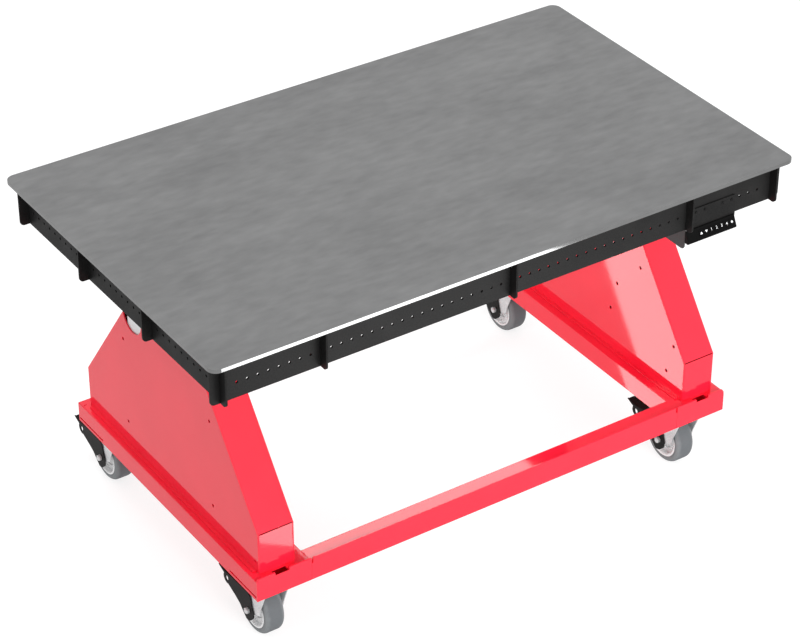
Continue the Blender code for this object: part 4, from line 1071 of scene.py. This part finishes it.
def make_fork(axle):
    """A pressed fork: a bent strap whose legs narrow to the axle, its raceway, the axle and its nuts."""
    x, y = axle[0], axle[1] - AXLE_TRAIL
    foot = AXLE_HEIGHT - FORK_FOOT_DROP
    half = [(FORK_INSIDE, CROWN_BOTTOM), (FORK_INSIDE, foot), (FORK_OUTSIDE, foot), (FORK_OUTSIDE, FORK_TOP)]
    strap = [(x - u, v) for u, v in reversed(half)] + [(x + u, v) for u, v in half]
    fork = slab("fork", strap, "Y", y + FORK_BLANK[0], y + FORK_BLANK[1])
    round_edges(fork, FORK_BEND, 5, lambda a, b: runs_back(a, b) and abs(a.z - FORK_TOP) < TINY)
    side = arc((AXLE_TRAIL, AXLE_HEIGHT), FORK_LEG_END, 250, 380, 9) + FORK_FRONT_EDGE + FORK_REAR_EDGE
    side = [(y + u, v) for u, v in side]
    tool = slab("side", side, "X", x - FORK_OUTSIDE - REACH, x + FORK_OUTSIDE + REACH)
    cut(fork, tool, operation="INTERSECT")
    soften(fork, FORK_EDGE, 3)
    race = rod("race", (x, y, FORK_TOP - RACEWAY_SINK), (x, y, RACEWAY_TOP), RACEWAY_RADIUS, 48)
    choose(race, "FACE", lambda centre, normal: abs(normal.z) < 1 - FACING)
    bpy.ops.mesh.inset(thickness=RACEWAY_GROOVE_MARGIN, use_boundary=True)
    narrower = (RACEWAY_GROOVE_SHARE, RACEWAY_GROOVE_SHARE, 1)
    bpy.ops.transform.resize(value=narrower, center_override=(x, y, FORK_TOP))
    leave_edit()
    soften(race, FORK_EDGE, 3)
    pin = rod("pin", (x - NUT_END, *axle[1:]), (x + NUT_END, *axle[1:]), AXLE_RADIUS, 24)
    soften(pin, AXLE_EDGE)
    nuts = []
    for side_sign in (-1, 1):
        start, end = x + side_sign * NUT_START, x + side_sign * (NUT_END - AXLE_PAST_NUT)
        nuts.append(hex_head("nut", (start, *axle[1:]), (end, *axle[1:]), AXLE_NUT_RADIUS))
    return joined([fork, race, pin, *nuts])


def make_hub(axle):
    """A moulded wheel centre with a rim, a ringed web and a bored boss."""
    half = [(TYRE_INSIDE - HUB_PLAY, HUB_HALF_WIDTH), *HUB_SIDE]
    hub = turned("hub", half + [(radius, -along) for radius, along in reversed(half)], axle, 64)
    pick(hub)
    bpy.ops.object.shade_smooth_by_angle(angle=HUB_SMOOTH_ANGLE)
    return hub


def make_tyre(axle):
    """A solid tyre with round shoulders and fine rings on its sides."""
    centre = (WHEEL_RADIUS - TYRE_SHOULDER, TYRE_HALF_WIDTH - TYRE_SHOULDER)
    half = arc(centre, TYRE_SHOULDER, 0, 80, 8) + TYRE_SIDE
    tyre = turned("tyre", half + [(radius, -along) for radius, along in reversed(half)], axle, 80)
    pick(tyre)
    bpy.ops.object.shade_smooth_by_angle(angle=TYRE_SMOOTH_ANGLE)
    return tyre


def make_pedal(axle):
    """A pressed brake pedal: an arm with an eye on each side of the fork and a ridged tread across."""
    x, y, z = axle
    tread_front, tip = PEDAL_TREAD
    sheet = PEDAL_OUTSIDE - PEDAL_INSIDE
    arm = [*PEDAL_LOWER_EDGE, *arc(PEDAL_EYE, PEDAL_EYE_RING, -110, 30, 14)]
    arm += [(tip[0], tip[1] - sheet), tip, *PEDAL_UPPER_EDGE]
    slot = []
    for rise, start in ((PEDAL_EYE_SLOT_HALF, 0), (-PEDAL_EYE_SLOT_HALF, 180)):
        centre = (PEDAL_EYE[0], PEDAL_EYE[1] + rise)
        slot += arc(centre, PEDAL_EYE_SLOT_RADIUS, start, start + 180, 8)
    pieces = []
    for start, end in ((-PEDAL_OUTSIDE, -PEDAL_INSIDE), (PEDAL_INSIDE, PEDAL_OUTSIDE)):
        plate = slab("arm", [(y + u, z + v) for u, v in arm], "X", x + start, x + end)
        round_edges(
            plate, PEDAL_CORNER, 4, lambda a, b: abs(a.x - b.x) > TINY and a.y < y + PEDAL_ROUNDED_TO,
        )
        cut_start, cut_end = x + start - REACH / 2, x + end + REACH / 2
        tool = slab("eye", [(y + u, z + v) for u, v in slot], "X", cut_start, cut_end)
        bore = rod("bore", (cut_start, y, z), (cut_end, y, z), AXLE_RADIUS + PEDAL_BORE_PLAY, 24)
        cut(plate, tool, bore)
        soften(plate, FLAT_EDGE)
        pieces.append(plate)
    slope = (tip[1] - tread_front[1]) / (tip[0] - tread_front[0])
    tread = [(TREAD_START, 0), (TREAD_END, 0), (TREAD_END, sheet), (TREAD_START, sheet)]
    tread = [(y + u, z + tip[1] + (u - tip[0]) * slope + v - TREAD_SINK * sheet) for u, v in tread]
    strip = slab("tread", tread, "X", x - PEDAL_OUTSIDE + TREAD_INSET, x + PEDAL_OUTSIDE - TREAD_INSET)
    soften(strip, TREAD_EDGE)
    ridges = []
    for along in RIDGES:
        spot = (y + along, z + tip[1] + (along - tip[0]) * slope - RIDGE_SINK * sheet)
        ends = (x - RIDGE_HALF_LENGTH, *spot), (x + RIDGE_HALF_LENGTH, *spot)
        ridges.append(rod("ridge", *ends, RIDGE_RADIUS, 12))
    return joined([*pieces, strip, *ridges])


def make_caster_plate(x, y):
    low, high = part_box("front_left_caster_plate")
    bottom = CASTER_PLATE_TOP - CASTER_PLATE_THICKNESS
    plate = block("plate", (low.x, low.y, bottom), (high.x, high.y, CASTER_PLATE_TOP))
    round_edges(plate, CASTER_PLATE_CORNER, 5, upright)
    soften(plate, FLAT_EDGE)
    bolts = []
    for dx, dy in CASTER_BOLTS:
        spot = x + dx, y + dy
        bolts.append(hex_head("head", (*spot, low.z), (*spot, bottom + CASTER_HEAD_SINK), CASTER_HEAD_RADIUS))
        bolts.append(rod("shank", (*spot, bottom), (*spot, high.z), CASTER_BOLT_RADIUS, 16))
        nut_top = high.z - CASTER_BOLT_PAST_NUT
        bolts.append(hex_head("nut", (*spot, CASTER_NUT_SEAT), (*spot, nut_top), CASTER_NUT_RADIUS))
    return joined([plate, *bolts])


def make_casters():
    """One caster, modelled at the front left and copied to the other corners."""
    x, y = -CASTER_X, -CASTER_Y
    axle = (x, y + AXLE_TRAIL, AXLE_HEIGHT)
    models = [
        (make_caster_plate(x, y), "caster_plate", None, "zinc"),
        (make_fork(axle), "fork", "caster", "zinc"),
        (make_hub(axle), "hub", "wheel", "wheel_white"),
        (make_tyre(axle), "tyre", "wheel", "grey_rubber"),
        (make_pedal(axle), "pedal", "pedal", "black_paint"),
    ]
    for end, end_sign in (("front", -1), ("rear", 1)):
        for side, side_sign in (("left", -1), ("right", 1)):
            corner = f"{end}_{side}"
            offset = (side_sign * CASTER_X - x, end_sign * CASTER_Y - y, 0)
            for model, part, rides, slot in models:
                piece = copied(model, f"{corner}_{part}_model", offset)
                body = f"{corner}_{rides}" if rides else "base"
                dress(piece, body, slot, f"{corner}_{part}")
    for model, *_ in models:
        bpy.data.objects.remove(model, do_unlink=True)


def seen_ray(tree):
    """1 for rays from the camera and for reflected or refracted ones, 0 for diffuse light."""
    path = tree.nodes.new("ShaderNodeLightPath")
    seen = path.outputs["Is Camera Ray"]
    for kind in ("Is Glossy Ray", "Is Transmission Ray"):
        either = tree.nodes.new("ShaderNodeMath")
        either.operation = "MAXIMUM"
        tree.links.new(seen, either.inputs[0])
        tree.links.new(path.outputs[kind], either.inputs[1])
        seen = either.outputs["Value"]
    return seen


def strength_range(tree, seen, unseen_level, seen_level):
    level = tree.nodes.new("ShaderNodeMapRange")
    level.inputs["To Min"].default_value = unseen_level
    level.inputs["To Max"].default_value = seen_level
    tree.links.new(seen, level.inputs["Value"])
    return level.outputs["Result"]


def make_world():
    world = bpy.data.worlds.new("white_studio")
    bpy.context.scene.world = world
    world.use_nodes = True
    tree = world.node_tree
    background = tree.nodes["Background"]
    background.inputs["Color"].default_value = (1, 1, 1, 1)
    tree.links.new(strength_range(tree, seen_ray(tree), 0.78, 1.0), background.inputs["Strength"])


def make_floor():
    deselect_all()
    bpy.ops.mesh.primitive_plane_add(size=60)
    floor = settle("studio_floor")
    material = bpy.data.materials.new("white_floor")
    material.use_nodes = True
    tree = material.node_tree
    shader = tree.nodes["Principled BSDF"]
    shader.inputs["Base Color"].default_value = (0.3, 0.3, 0.3, 1)
    shader.inputs["Roughness"].default_value = 0.9
    shader.inputs["Specular IOR Level"].default_value = 0.0
    shader.inputs["Emission Color"].default_value = (1, 1, 1, 1)
    pale = strength_range(tree, seen_ray(tree), 0.50, 0.47)
    path = tree.nodes.new("ShaderNodeLightPath")
    white = strength_range(tree, path.outputs["Is Camera Ray"], 0.0, 0.30)
    level = tree.nodes.new("ShaderNodeMath")
    level.operation = "ADD"
    tree.links.new(pale, level.inputs[0])
    tree.links.new(white, level.inputs[1])
    tree.links.new(level.outputs["Value"], shader.inputs["Emission Strength"])
    floor.data.materials.append(material)


def make_lamp(name, place, target, size, power):
    turn = (Vector(target) - Vector(place)).to_track_quat("-Z", "Y").to_euler()
    bpy.ops.object.light_add(type="AREA", location=place, rotation=turn)
    lamp = bpy.context.active_object
    lamp.name = name
    lamp.data.shape = "RECTANGLE"
    lamp.data.size, lamp.data.size_y = size
    lamp.data.energy = power
    lamp.visible_glossy = False


def make_lamps():
    make_lamp("front_softbox", (0.3, -4.6, 2.2), (0, 0, 0.45), (3.6, 2.4), 210)
    make_lamp("top_softbox", (-0.6, 0.4, 4.2), (0, 0, 0.4), (3.0, 3.0), 120)
    make_lamp("under_fill", (-0.10, -0.05, 0.70), (0.58, 0, 0.25), (0.5, 0.3), 3.3)


def make_card(name, mirrors, place, yaw, size, brightness, facing_up=True):
    """A white card that only shows as a reflection, in the pieces that are its mirrors."""
    turn = (pi if facing_up else 0, 0, radians(yaw))
    bpy.ops.object.light_add(type="AREA", location=place, rotation=turn)
    card = bpy.context.active_object
    card.name = name
    card.data.shape = "RECTANGLE"
    card.data.size, card.data.size_y = size
    card.data.energy = brightness * pi * size[0] * size[1]
    card.visible_camera = False
    card.visible_diffuse = False
    card.light_linking.receiver_collection = bpy.data.collections.new(name + "_mirrors")
    for mirror in mirrors:
        card.light_linking.receiver_collection.objects.link(bpy.data.objects[mirror])


def make_cards():
    mirrors = ["steel_plate", "front_rib_bar"]
    make_card("plate_edge_card", mirrors, (0.37, -1.53, 0.006), 0, (1.06, 0.75), 6.0)
    mirrors = ["left_shell_sheet"]
    make_card("skirt_card", mirrors, (-0.359, -0.787, 0.004), 41, (0.165, 0.20), 3.6)
    mirrors = ["right_cover_sheet", "right_folded_rail"]
    make_card("cover_card", mirrors, (0.164, 0.171, 0.005), 27, (0.16, 0.84), 3.5)
    mirrors = ["front_beam_channel", "left_folded_rail", "right_cover_sheet"]
    make_card("ledge_card", mirrors, (0.156, 0.15, 0.72), 0, (0.692, 0.18), 4.8, facing_up=False)


def make_camera():
    bpy.ops.object.camera_add(location=CAMERA_PLACE, rotation=CAMERA_TURN)
    camera = bpy.context.active_object
    camera.data.lens = CAMERA_LENS
    camera.data.sensor_width = CAMERA_SENSOR
    bpy.context.scene.camera = camera


make_plate()
make_ribs()
make_pedestals()
make_base()
for side, sign in (("left", -1), ("right", 1)):
    make_column(side, sign)
    make_motor(side)
make_controls()
make_bracket()
make_handset()
make_casters()
make_world()
make_floor()
make_lamps()
make_cards()
make_camera()
bpy.context.scene.view_settings.view_transform = "Standard"
